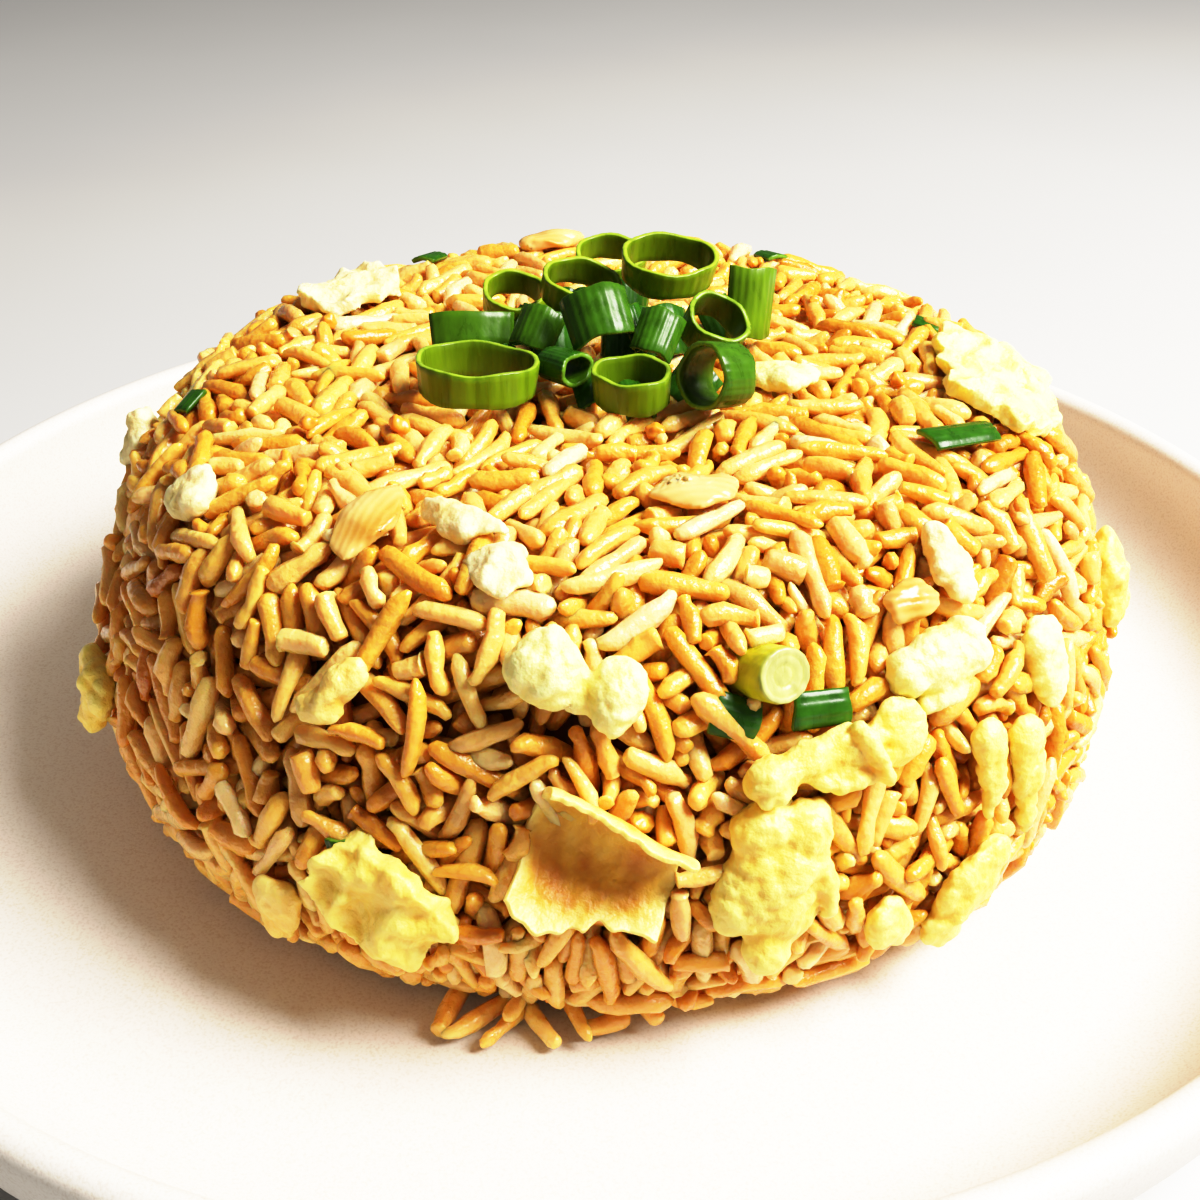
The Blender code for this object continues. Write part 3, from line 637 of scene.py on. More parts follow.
def grain_material(name, dark, middle, light, clarity, roughness):
    """Cooked rice: a soft, slightly see-through body under a thin film of oil."""
    made, tree, shader = new_material(name)
    nodes, links = tree.nodes, tree.links
    where = nodes.new("ShaderNodeTexCoord")
    # the tint, random for each grain and lowered for buried grains as painted shade, picks the body colour
    tint = nodes.new("ShaderNodeAttribute")
    tint.attribute_name = "tint"
    body = nodes.new("ShaderNodeValToRGB")
    body.color_ramp.elements[0].color = (*dark, 1.0)
    body.color_ramp.elements[1].color = (*light, 1.0)
    centre = body.color_ramp.elements.new(0.5)
    centre.color = (*middle, 1.0)
    stain = nodes.new("ShaderNodeTexNoise")
    stain.inputs["Scale"].default_value = 330.0
    stain.inputs["Detail"].default_value = 3.0
    swing = nodes.new("ShaderNodeMapRange")
    swing.inputs["From Min"].default_value = 0.3
    swing.inputs["From Max"].default_value = 0.7
    swing.inputs["To Min"].default_value = -0.22
    swing.inputs["To Max"].default_value = 0.22
    add = nodes.new("ShaderNodeMath")
    add.operation = "ADD"
    add.use_clamp = True
    fine = nodes.new("ShaderNodeTexNoise")
    fine.inputs["Scale"].default_value = 1100.0
    fine.inputs["Detail"].default_value = 3.0
    bump = nodes.new("ShaderNodeBump")
    bump.inputs["Strength"].default_value = 0.85
    bump.inputs["Distance"].default_value = 0.0004
    gloss = nodes.new("ShaderNodeMapRange")
    gloss.inputs["To Min"].default_value = roughness - 0.08
    gloss.inputs["To Max"].default_value = roughness + 0.10
    links.new(where.outputs["Object"], stain.inputs["Vector"])
    links.new(where.outputs["Object"], fine.inputs["Vector"])
    links.new(stain.outputs["Fac"], swing.inputs["Value"])
    links.new(tint.outputs["Fac"], add.inputs[0])
    links.new(swing.outputs["Result"], add.inputs[1])
    links.new(add.outputs["Value"], body.inputs["Fac"])
    links.new(body.outputs["Color"], shader.inputs["Base Color"])
    links.new(fine.outputs["Fac"], bump.inputs["Height"])
    links.new(bump.outputs["Normal"], shader.inputs["Normal"])
    links.new(stain.outputs["Fac"], gloss.inputs["Value"])
    links.new(gloss.outputs["Result"], shader.inputs["Roughness"])
    shader.inputs["Subsurface Weight"].default_value = clarity
    shader.inputs["Subsurface Radius"].default_value = (1.0, 0.55, 0.25)
    shader.inputs["Subsurface Scale"].default_value = 1.6 * MM
    shader.inputs["Coat Weight"].default_value = 0.12
    shader.inputs["Coat Roughness"].default_value = 0.10
    return made


GRAIN_KINDS = (
    # name, share, dark, middle and light colours, clarity, roughness
    ("rice_grains_pale", 0.27, (0.74, 0.36, 0.06), (0.86, 0.49, 0.12), (0.93, 0.62, 0.21), 0.85, 0.27),
    ("rice_grains_tan", 0.18, (0.70, 0.33, 0.045), (0.82, 0.44, 0.09), (0.90, 0.55, 0.155), 0.85, 0.28),
    ("rice_grains_golden", 0.27, (0.68, 0.29, 0.03), (0.80, 0.39, 0.055), (0.88, 0.50, 0.10),
     0.80, 0.28),
    ("rice_grains_stained", 0.13, (0.56, 0.20, 0.015), (0.71, 0.31, 0.03), (0.82, 0.41, 0.06),
     0.75, 0.27),
    ("rice_grains_clear", 0.15, (0.70, 0.40, 0.11), (0.82, 0.54, 0.20), (0.90, 0.66, 0.32), 0.90, 0.20),
)
sort = packing.random(GRAIN_COUNT)
forms = packing.integers(0, WHOLE_KINDS + 1, GRAIN_COUNT)
forms[broken] = packing.integers(WHOLE_KINDS, len(GRAIN_BOWS), broken.sum())
# Grains lying deeper under the mould's surface, in the gaps between the outer ones, get a lower tint and so
# a darker colour: painted shade for those gaps.
depth = mould_depth(place)
tints = packing.random(GRAIN_COUNT) - 0.45 * np.clip((depth - 1.5 * MM) / (3.0 * MM), 0.0, 1.0)
extents = np.stack([GRAIN_LENGTH * long / 2, girth, girth], axis=1)
lower_share = 0.0
for name, share, dark, middle, light, clarity, roughness in GRAIN_KINDS:
    chosen = (sort >= lower_share) & (sort < lower_share + share)
    lower_share += share
    grains = scatter(name, place[chosen], turns[chosen], extents[chosen], forms[chosen], tints[chosen],
                     shapes, grain_material(name, dark, middle, light, clarity, roughness))
    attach(grains, "root")
    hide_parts("rice")

# ---------------------------------------------------------------------------------------------
# Egg.  Soft scrambled egg broken up in the pan.  A curd is several soft puffs grown together,
# with creases between them; a flake or sheet is a thin rumpled layer; all are pressed into the
# mound's surface while they are still moist.
EGG_SEED = 4
noise.seed_set(EGG_SEED)            # unseeded, noise_vector would follow the clock
EGG_VOXEL = 0.32 * MM
# Creases are painted a deeper yellow as shade; a crease this deep takes all of that painted shade.
CREASE_SHADE_DEPTH = 0.55 * MM            # a crease this deep takes the full crease colour
Puff = namedtuple("Puff", "x y z wide high deep lean")
# A puff's place and half sizes are millimetres from the middle of its piece: X to the right round
# the mound, Y up its surface, Z out of it; lean turns it in the surface, in degrees.
SCULPTED_EGG = {
    "egg_curd_front": (
        Puff(-0.3, -0.6, 0.1, 4.4, 6.0, 2.7, 6), Puff(2.7, 4.6, 0.2, 2.5, 3.0, 2.4, -25),
        Puff(-1.2, 5.2, 0.0, 3.0, 2.5, 2.2, 10), Puff(4.1, 0.2, 0.3, 1.3, 4.6, 2.3, 10),
        Puff(-3.7, -1.6, 0.0, 2.0, 3.3, 1.8, -12), Puff(-0.9, -6.6, 0.2, 2.2, 2.7, 2.0, 6),
        Puff(1.2, 1.4, 1.4, 2.2, 2.6, 1.7, -30),
    ),
    "egg_fold_front": (
        Puff(-6.2, -0.7, 0.2, 2.7, 2.3, 2.1, 14), Puff(-2.9, 0.2, 0.1, 3.0, 1.7, 1.7, 8),
        Puff(1.4, -0.4, 0.0, 4.0, 2.9, 1.5, -10), Puff(3.2, -0.5, 0.9, 0.9, 3.6, 2.2, 26),
        Puff(6.2, 0.8, 0.0, 3.0, 3.3, 1.4, -8), Puff(0.6, -2.3, 0.5, 3.6, 0.9, 1.5, -6),
    ),
    "egg_curd_right": (
        Puff(0.2, 0.7, 0.1, 4.6, 2.9, 2.4, 0), Puff(3.1, 0.9, 0.3, 2.2, 2.9, 2.3, 10),
        Puff(-3.7, 0.4, 0.0, 2.0, 2.2, 1.9, 0), Puff(-0.2, -2.6, 0.3, 3.2, 1.1, 1.7, 6),
    ),
    "egg_petal_right_upper": (
        Puff(0.3, 2.0, 0.5, 2.1, 2.6, 1.4, 8), Puff(0.4, -0.8, 0.5, 1.7, 2.8, 1.2, -6),
        Puff(-0.1, -3.4, 0.3, 0.9, 2.2, 0.9, -14),
    ),
    "egg_petal_right_lower": (
        Puff(0.2, 3.4, 0.5, 2.6, 2.5, 1.4, 0), Puff(0.2, 0.2, 0.5, 2.2, 3.6, 1.3, -4),
        Puff(-0.2, -4.0, 0.3, 1.1, 2.9, 1.0, -8),
    ),
    "egg_slab_low_right": (
        Puff(0.4, 0.8, 0.2, 3.6, 4.8, 1.5, -38), Puff(-2.4, -3.2, 0.2, 2.4, 2.3, 1.5, -20),
        Puff(2.9, 3.2, 0.1, 2.2, 2.7, 1.4, -35), Puff(-0.9, 0.4, 0.8, 0.9, 3.8, 1.5, -38),
    ),
    "egg_double_middle": (
        Puff(-2.4, 0.8, 0.4, 3.3, 3.4, 2.4, 30), Puff(-4.6, 0.6, 0.0, 1.5, 2.3, 1.7, 10),
        Puff(3.5, -1.3, 0.4, 2.4, 3.5, 2.3, -12), Puff(0.4, -1.0, 0.0, 1.6, 1.7, 1.4, 0),
    ),
    "egg_fold_left": (
        Puff(1.3, 1.5, 0.2, 1.7, 2.9, 1.3, -35), Puff(-0.6, -1.5, 0.3, 2.5, 1.7, 1.5, 20),
        Puff(0.6, 0.0, 1.0, 0.9, 3.0, 1.1, -30),
    ),
    "egg_curd_low_left": (
        Puff(0.1, 1.2, 0.1, 2.7, 2.5, 1.5, 0), Puff(-0.5, -1.7, 0.1, 1.9, 2.6, 1.4, 18),
        Puff(1.4, -0.2, 0.5, 1.2, 2.4, 1.1, 0),
    ),
}
EGG_PRESS = 0.98                    # sculpted pieces are drawn in this much, to sit in their pockets


def mould_frame(point):
    """Matrix at a place on the mound: X to the right round it, Y up its surface, Z outwards."""
    offset = Vector(point) - MOUND_AXIS
    reach, level = math.hypot(offset.x, offset.y), offset.z - MOUND_FLOOR
    outward = Vector((offset.x / reach, offset.y / reach, 0.0))
    if level < WIDEST_AT:
        tuck = BASE_ROUNDING * (1.0 - level / WIDEST_AT) ** (BASE_ROUNDING - 1) / WIDEST_AT
        fall = -(MOUND_RADIUS - MOUND_BASE_RADIUS) * tuck
        normal = (outward + Vector((0, 0, fall))).normalized()
    else:
        steep = SHOULDER_POWER * (reach / MOUND_RADIUS) ** (SHOULDER_POWER - 1) / MOUND_RADIUS
        normal = (outward * steep + Vector((0, 0, 1.0 / (MOUND_HEIGHT - WIDEST_AT)))).normalized()
    right = Vector((-outward.y, outward.x, 0.0))
    frame_at = Matrix((right, normal.cross(right), normal)).transposed().to_4x4()
    frame_at.translation = Vector(point)
    return frame_at


def cad_bmesh(node):
    """A CAD piece's own mesh, with its loose triangles welded."""
    builder = bmesh.new()
    builder.from_mesh(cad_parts[node].data)
    bmesh.ops.remove_doubles(builder, verts=builder.verts, dist=0.002 * MM)
    return builder


def node_middle(node):
    low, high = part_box(node)
    return (Vector(low) + Vector(high)) / 2


def puffed(puffs, place):
    """Puffs as one bmesh of overlapping rounded bodies, set on the mound."""
    builder = bmesh.new()
    for puff in puffs:
        made = bmesh.ops.create_icosphere(builder, subdivisions=3, radius=1.0)["verts"]
        size = Matrix.Diagonal(Vector((puff.wide, puff.high, puff.deep)) * MM * EGG_PRESS).to_4x4()
        spot = Matrix.Translation(Vector((puff.x, puff.y, puff.z)) * MM * EGG_PRESS)
        lean = Matrix.Rotation(math.radians(puff.lean), 4, "Z")
        bmesh.ops.transform(builder, verts=made, matrix=place @ spot @ lean @ size)
    return builder


def chance_puffs(node, place, seed):
    """Puffs for a curd that nothing else describes: a cluster that fills the piece's CAD solid."""
    chance = np.random.default_rng(seed)
    points = [place.inverted() @ vert.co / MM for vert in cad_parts[node].data.vertices]
    half = [max(abs(point[k]) for point in points) for k in range(3)]
    puffs = [Puff(0, 0, 0, half[0] * 0.80, half[1] * 0.80, half[2] * 0.8, 0)]
    for k in range(5):
        around = math.tau * (k + chance.uniform(-0.3, 0.3)) / 5
        reach = chance.uniform(0.40, 0.58)
        grow = chance.uniform(0.36, 0.56)
        puffs.append(Puff(math.cos(around) * half[0] * reach, math.sin(around) * half[1] * reach,
                          chance.uniform(-0.1, 0.35) * half[2], half[0] * grow, half[1] * grow,
                          half[2] * chance.uniform(0.5, 0.75), chance.uniform(-40, 40)))
    return puffs


def grown_together(name, builder, voxel, soften):
    """One closed skin round overlapping bodies, softened: its points, faces and crease depths."""
    mesh = bpy.data.meshes.new(name)
    builder.to_mesh(mesh)
    builder.free()
    thing = bpy.data.objects.new(name, mesh)
    scene.collection.objects.link(thing)
    remesh = thing.modifiers.new("skin", "REMESH")
    remesh.mode = "VOXEL"
    remesh.voxel_size = voxel
    smooth = thing.modifiers.new("soften", "SMOOTH")
    results = []
    for steps in (soften * 6, soften):
        smooth.iterations = steps
        graph = bpy.context.evaluated_depsgraph_get()
        results.append(bpy.data.meshes.new_from_object(thing.evaluated_get(graph)))
    broad, close = results
    bpy.data.objects.remove(thing, do_unlink=True)
    creases = [(far.co - near.co).dot(near.normal) for far, near in zip(broad.vertices, close.vertices)]
    bpy.data.meshes.remove(broad)
    return close, creases


def set_tint(mesh, values):
    layer = mesh.attributes.new("tint", "FLOAT", "POINT")
    layer.data.foreach_set("value", np.asarray(values, dtype=np.float32))


def egg_material(name, crease, body, crown, roughness):
    """Set egg, pitted and moist: deeper yellow in the creases as painted shade, paler where it swells as
    painted light.
    """
    made, tree, shader = new_material(name)
    nodes, links = tree.nodes, tree.links
    where = nodes.new("ShaderNodeTexCoord")
    tint = nodes.new("ShaderNodeAttribute")
    tint.attribute_name = "tint"
    patch = nodes.new("ShaderNodeTexNoise")
    patch.inputs["Scale"].default_value = 320.0
    patch.inputs["Detail"].default_value = 5.0
    swing = nodes.new("ShaderNodeMapRange")
    swing.inputs["From Min"].default_value = 0.3
    swing.inputs["From Max"].default_value = 0.7
    swing.inputs["To Min"].default_value = -0.20
    swing.inputs["To Max"].default_value = 0.20
    add = nodes.new("ShaderNodeMath")
    add.operation = "ADD"
    add.use_clamp = True
    ramp = nodes.new("ShaderNodeValToRGB")
    ramp.color_ramp.elements[0].color = (*crease, 1.0)
    ramp.color_ramp.elements[1].color = (*crown, 1.0)
    middle = ramp.color_ramp.elements.new(0.45)
    middle.color = (*body, 1.0)
    pores = nodes.new("ShaderNodeTexNoise")
    pores.inputs["Scale"].default_value = 1300.0
    pores.inputs["Detail"].default_value = 5.0
    bump = nodes.new("ShaderNodeBump")
    bump.inputs["Strength"].default_value = 0.8
    bump.inputs["Distance"].default_value = 0.0004
    gloss = nodes.new("ShaderNodeMapRange")
    gloss.inputs["To Min"].default_value = roughness - 0.10
    gloss.inputs["To Max"].default_value = roughness + 0.14
    for texture in (patch, pores):
        links.new(where.outputs["Object"], texture.inputs["Vector"])
    links.new(patch.outputs["Fac"], swing.inputs["Value"])
    links.new(tint.outputs["Fac"], add.inputs[0])
    links.new(swing.outputs["Result"], add.inputs[1])
    links.new(add.outputs["Value"], ramp.inputs["Fac"])
    links.new(ramp.outputs["Color"], shader.inputs["Base Color"])
    links.new(pores.outputs["Fac"], bump.inputs["Height"])
    links.new(bump.outputs["Normal"], shader.inputs["Normal"])
    links.new(pores.outputs["Fac"], gloss.inputs["Value"])
    links.new(gloss.outputs["Result"], shader.inputs["Roughness"])
    shader.inputs["Subsurface Weight"].default_value = 0.5
    shader.inputs["Subsurface Radius"].default_value = (1.0, 0.7, 0.3)
    shader.inputs["Subsurface Scale"].default_value = 1.5 * MM
    return made


# The colour in the creases (painted shade), of the body, and of the crowns (paler, painted light), and the
# roughness.
EGG_COLOURS = {
    "yellow": ((0.84, 0.38, 0.03), (0.95, 0.63, 0.10), (0.99, 0.80, 0.22), 0.42),
    "bright": ((0.92, 0.60, 0.08), (0.97, 0.78, 0.19), (0.99, 0.89, 0.38), 0.40),
    "pale": ((0.76, 0.44, 0.10), (0.90, 0.68, 0.24), (0.95, 0.82, 0.44), 0.46),
    "browned": ((0.60, 0.22, 0.02), (0.90, 0.50, 0.07), (0.96, 0.72, 0.22), 0.38),
}
EGG_FINISHES = {kind: egg_material("egg_" + kind, *colours) for kind, colours in EGG_COLOURS.items()}
EGG_FINISH_OF = {
    "egg_sheet_top_right": "bright", "egg_curd_far_right": "bright", "egg_curd_top": "bright",
    "egg_flake_middle": "pale", "egg_flake_pale": "pale", "egg_curd_pale_left": "pale",
    "egg_sheet_top_left": "pale", "egg_petal_right_top": "pale", "egg_curd_side_left": "pale",
    "egg_double_middle": "bright", "egg_curd_right": "bright",
    "egg_skin_side_left": "browned", "egg_fold_left": "browned",
    # the low left curd lies in shade; its darker browned finish is painted shade
    "egg_curd_low_left": "browned",
}


def finish_egg(node, builder, voxel, soften, lumps, pits):
    """Skin a piece of egg, roughen it, and put it in its node's place."""
    mesh, creases = grown_together(node + "_piece", builder, voxel, soften)
    tints = []
    for vert, crease in zip(mesh.vertices, creases):
        at = vert.co
        warp = noise.noise_vector(at * 180.0) * 0.6
        swell = abs(noise.noise(at * 260.0 + warp)) + 0.5 * abs(noise.noise(at * 610.0 + warp)) - 0.3
        pit = noise.noise(at * 1250.0) - 1.6 * max(0.0, noise.noise(at * 760.0) - 0.28)
        # tint: lower in creases and pits as painted shade, higher on the swells as painted light
        tints.append(0.66 - crease / CREASE_SHADE_DEPTH * 0.6 + swell * 0.45 + pit * 0.12)
        vert.co = at + vert.normal * (lumps * swell + pits * pit)
    set_tint(mesh, tints)
    mesh.shade_smooth()
    mesh.materials.clear()
    mesh.materials.append(EGG_FINISHES[EGG_FINISH_OF.get(node, "yellow")])
    egg = bpy.data.objects.new(node + "_piece", mesh)
    scene.collection.objects.link(egg)
    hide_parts(node)
    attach(egg, "root")


def crumpled(node, folds, ragged):
    """A thin piece from its CAD solid, cut finer, folded more sharply and torn at its edge."""
    builder = cad_bmesh(node)
    bmesh.ops.subdivide_edges(builder, edges=builder.edges, cuts=5, use_grid_fill=True)
    place = mould_frame(node_middle(node))
    inward = place.inverted()
    normal = place.to_3x3().col[2]
    spots = [inward @ vert.co for vert in builder.verts]
    half = Vector((max(abs(s.x) for s in spots), max(abs(s.y) for s in spots), 1.0))
    for vert, spot in zip(builder.verts, spots):
        at = vert.co.copy()
        ridge = 1.0 - 2.0 * abs(noise.noise(at * 230.0))
        edge = max(abs(spot.x) / half.x, abs(spot.y) / half.y) ** 3
        tear = noise.noise(at * 420.0) * edge
        side = Vector((spot.x, spot.y, 0.0)).normalized() if spot.length > 0 else Vector((1, 0, 0))
        vert.co += normal * (folds * (ridge - 0.5)) + place.to_3x3() @ side * (ragged * tear)
    return builder


for number, node in enumerate(sorted(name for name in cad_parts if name.startswith("egg_"))):
    form = node.split("_")[1]
    if node == "egg_skin_curl":
        continue
    if node in SCULPTED_EGG:
        place = mould_frame(node_middle(node))
        finish_egg(node, puffed(SCULPTED_EGG[node], place), EGG_VOXEL, 8, 0.75 * MM, 0.16 * MM)
    elif form in ("sheet", "skin", "flake"):
        finish_egg(node, crumpled(node, 1.2 * MM, 2.4 * MM), 0.28 * MM, 3, 0.40 * MM, 0.12 * MM)
    else:
        place = mould_frame(node_middle(node))
        puffs = chance_puffs(node, place, number)
        finish_egg(node, puffed(puffs, place), EGG_VOXEL, 7, 0.75 * MM, 0.15 * MM)

# ---------------------------------------------------------------------------------------------
# Browned skin.  The one thin skin of egg that caught on the pan: a trough open to the front, its
# hollow golden brown, its torn lower lip pale and rolled out, a pale flap at its left end.
CURL_LENGTH, CURL_RADIUS = 13.4 * MM, 4.6 * MM
CURL_WALL = 0.5 * MM
curl_low, curl_high = (Vector(corner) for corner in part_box("egg_skin_curl"))
curl_place = mould_frame((curl_low + curl_high) / 2)
curl_turn = Matrix.Rotation(math.radians(-20), 4, "Z")
CURL_COLUMNS, CURL_ROWS = 64, 40


def curl_point(u, v):
    """A place on the skin's middle surface: u along the trough, v from lower lip to upper edge."""
    narrow = 1.0 - 0.20 * u
    turn = math.radians(-82 + 178 * v + 8 * math.sin(u * 3.0))
    reach = CURL_RADIUS * narrow * (1.0 + 0.10 * noise.noise(Vector((u * 1.3, v * 1.7, 2.0))))
    along = u * CURL_LENGTH / 2 + 0.9 * MM * noise.noise(Vector((u * 1.1, v * 2.6, 7.0)))
    if v < 0.16:
        reach *= 1.0 + 1.6 * (0.16 - v) * (1.0 + 0.8 * noise.noise(Vector((u * 3.1, 0.0, 1.0))))
    if u < -0.72:
        reach *= 1.0 - 0.9 * (-0.72 - u) * (1.0 - v)
    crumple = 0.16 * MM * noise.noise(Vector((u * 5.0, v * 6.0, 3.0)))
    reach += crumple
    return Vector((along, math.sin(turn) * reach, CURL_RADIUS * 0.62 - math.cos(turn) * reach))


bm = bmesh.new()
grid, tints = [], []
for i in range(CURL_COLUMNS + 1):
    line = []
    for j in range(CURL_ROWS + 1):
        u, v = 2.0 * i / CURL_COLUMNS - 1.0, j / CURL_ROWS
        torn = 0.05 * noise.noise(Vector((u * 6.0, 4.0, 0.0)))
        v_torn = v * (1.0 + torn) + 0.05 * noise.noise(Vector((u * 5.0, 0.0, 9.0))) * (1.0 - v)
        u_torn = u * (1.0 + 0.05 * noise.noise(Vector((v * 4.0, 0.0, 5.0))))
        line.append(bm.verts.new(curl_place @ curl_turn @ curl_point(u_torn, v_torn)))
        rim = min(v, 1.0 - v, (1.0 - abs(u)) * 0.7)
        brown = min(1.0, rim / 0.14)
        tints.append(0.95 - 0.62 * brown + 0.25 * noise.noise(Vector((u * 4.0, v * 5.0, 1.0))))
    grid.append(line)
for i in range(CURL_COLUMNS):
    for j in range(CURL_ROWS):
        bm.faces.new((grid[i][j], grid[i + 1][j], grid[i + 1][j + 1], grid[i][j + 1]))
curl = mesh_object("egg_skin_curl_piece", bm, EGG_FINISHES["browned"])
set_tint(curl.data, tints)
wall = curl.modifiers.new("wall", "SOLIDIFY")
wall.thickness = CURL_WALL
wall.offset = 0.0
round_edge = curl.modifiers.new("round", "BEVEL")
round_edge.width = CURL_WALL * 0.3
round_edge.segments = 2
round_edge.limit_method = "ANGLE"
graph = bpy.context.evaluated_depsgraph_get()
solid = bpy.data.meshes.new_from_object(curl.evaluated_get(graph))
curl.modifiers.clear()
curl.data = solid
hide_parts("egg_skin_curl")
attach(curl, "root")

# ---------------------------------------------------------------------------------------------
# Onion.  Slices fried until see-through, each with the fine ribs that run along its layer.
onion_material, tree, shader = new_material("fried_onion")
nodes, links = tree.nodes, tree.links
tint = nodes.new("ShaderNodeAttribute")
tint.attribute_name = "tint"
ramp = nodes.new("ShaderNodeValToRGB")
ramp.color_ramp.elements[0].color = (0.52, 0.25, 0.04, 1.0)
ramp.color_ramp.elements[1].color = (0.84, 0.56, 0.20, 1.0)
where = nodes.new("ShaderNodeTexCoord")
fine = nodes.new("ShaderNodeTexNoise")
fine.inputs["Scale"].default_value = 900.0
bump = nodes.new("ShaderNodeBump")
bump.inputs["Strength"].default_value = 0.2
bump.inputs["Distance"].default_value = 0.0002
links.new(tint.outputs["Fac"], ramp.inputs["Fac"])
links.new(ramp.outputs["Color"], shader.inputs["Base Color"])
links.new(where.outputs["Object"], fine.inputs["Vector"])
links.new(fine.outputs["Fac"], bump.inputs["Height"])
links.new(bump.outputs["Normal"], shader.inputs["Normal"])
shader.inputs["Roughness"].default_value = 0.24
shader.inputs["Subsurface Weight"].default_value = 0.85
shader.inputs["Subsurface Radius"].default_value = (1.0, 0.7, 0.4)
shader.inputs["Subsurface Scale"].default_value = 1.6 * MM
ONION_RIBS = 8.5                    # radians of rib for each millimetre across
for node in sorted(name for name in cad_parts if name.startswith("onion_")):
    mesh, creases = grown_together(node + "_slice", cad_bmesh(node), 0.20 * MM, 4)
    points = np.array([vert.co[:] for vert in mesh.vertices])
    middle = points.mean(axis=0)
    spread, directions = np.linalg.eigh(np.cov((points - middle).T))
    across = (points - middle) @ directions[:, 1] / MM
    tints = []
    for vert, aside in zip(mesh.vertices, across):
        ripple = math.sin(aside * ONION_RIBS + noise.noise(vert.co * 150.0) * 2.0)
        lump = noise.noise(vert.co * 260.0)
        vert.co += vert.normal * (0.025 * MM * ripple + 0.55 * MM * lump)
        tints.append(0.42 + 0.10 * ripple + 0.9 * lump)
    set_tint(mesh, tints)
    mesh.shade_smooth()
    mesh.materials.clear()
    mesh.materials.append(onion_material)
    onion = bpy.data.objects.new(node + "_slice", mesh)
    scene.collection.objects.link(onion)
    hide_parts(node)
    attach(onion, "root")

# ---------------------------------------------------------------------------------------------
# Spring onion.  Hollow green leaves cut across: rings whose ribbed, waxy outside is darker than
# the juicy cut rim and the inner wall, and cuts that have sprung open into curved strips.
SPRING_WALL = 0.55 * MM
RING_STEPS = 84
CUT_LEAVES = (
    # node, turn about X, Y, Z, radius, length, arc, squash, shade (0 yellow-green to 1 deep green)
    ("ring_front_left", (-3, 3, 0), 5.8, 3.7, 360, 0.90, 0.30),
    ("ring_front_middle", (2, -2, 0), 3.9, 3.5, 360, 0.92, 0.32),
    ("ring_front_right", (76, 0, -50), 3.5, 4.6, 360, 0.90, 0.85),
    ("ring_back_high", (13, 6, 0), 5.1, 3.3, 360, 0.84, 0.10),
    ("ring_back_middle", (18, 10, 10), 4.1, 3.2, 360, 0.90, 0.15),
    ("ring_back_far", (16, -4, 25), 4.2, 3.2, 360, 0.85, 0.20),
    ("ring_back_left", (18, 12, -15), 3.6, 3.1, 360, 0.88, 0.10),
    ("leaf_left", (-38, 2, 8), 8.2, 3.6, 66, 1.0, 0.80),
    ("leaf_middle", (-48, -14, 8), 3.9, 5.6, 124, 1.0, 0.90),
    ("leaf_middle_left", (-45, 10, -22), 2.9, 4.6, 120, 1.0, 0.85),
    ("leaf_middle_right", (-50, 18, -10), 2.6, 5.0, 124, 1.0, 0.90),
    ("tube_front", (82, 0, 40), 2.0, 4.6, 360, 0.90, 1.00),
    ("leaf_right", (-14, 10, 22), 3.3, 7.6, 120, 1.0, 0.45),
    ("ring_right", (24, 22, 0), 3.6, 3.4, 360, 0.88, 0.60),
)


def leaf_mesh(radius, length, arc_degrees, squash, seed):
    """A cut hollow leaf standing on Z; returns the bmesh and each corner's tint."""
    builder = bmesh.new()
    closed = arc_degrees >= 360
    steps = RING_STEPS if closed else max(16, round(RING_STEPS * arc_degrees / 300))
    count = steps if closed else steps + 1
    half_length = length / 2
    wall = min(SPRING_WALL, radius * 0.30)
    rim = wall * 0.22
    # profile: offset from the outer wall, height, and tint of the outside, rim and inside
    levels = [-1.0, -0.6, -0.2, 0.2, 0.6, 1.0]
    profile = [(0.0, level * (half_length - rim), 0.0) for level in levels]
    profile += [(rim * 0.6, half_length - rim * 0.2, 0.8), (wall / 2, half_length, 1.0),
                (wall - rim * 0.6, half_length - rim * 0.2, 0.8)]
    profile += [(wall, level * (half_length - rim), 0.45) for level in reversed(levels)]
    profile += [(wall - rim * 0.6, -half_length + rim * 0.2, 0.8), (wall / 2, -half_length, 1.0),
                (rim * 0.6, -half_length + rim * 0.2, 0.8)]
    loops, tints = [], []
    for i in range(count):
        turn = math.radians(-90 - arc_degrees / 2 + arc_degrees * i / steps)
        wave = 0.045 * math.cos(2 * turn + seed) + 0.025 * math.cos(3 * turn + seed * 2.3)
        rib = 0.035 * MM * math.cos(turn * 26) + 0.02 * MM * math.cos(turn * 11 + seed)
        corners = []
        for inset, height, tone in profile:
            edge_wobble = 0.12 * MM * math.sin(turn * 5 + seed) * (1 if height > 0 else -1)
            reach = radius * (1.0 + wave * (closed is True)) - inset + rib * (1.0 - inset / wall)
            spread = 1.0 + 0.03 * height / half_length
            spot = Vector((math.cos(turn) * reach * spread, math.sin(turn) * squash * reach * spread,
                           height + edge_wobble * abs(height) / half_length))
            corners.append(builder.verts.new(spot))
            tints.append(tone)
        loops.append(corners)
    pairs = list(zip(loops, loops[1:]))
    if closed:
        pairs.append((loops[-1], loops[0]))
    size = len(profile)
    for near, far in pairs:
        for a in range(size):
            b = (a + 1) % size
            builder.faces.new((near[a], far[a], far[b], near[b]))
    if not closed:
        builder.faces.new(loops[0])
        builder.faces.new(list(reversed(loops[-1])))
    bmesh.ops.recalc_face_normals(builder, faces=builder.faces)
    if builder.calc_volume(signed=True) < 0:
        bmesh.ops.reverse_faces(builder, faces=builder.faces)
    return builder, tints


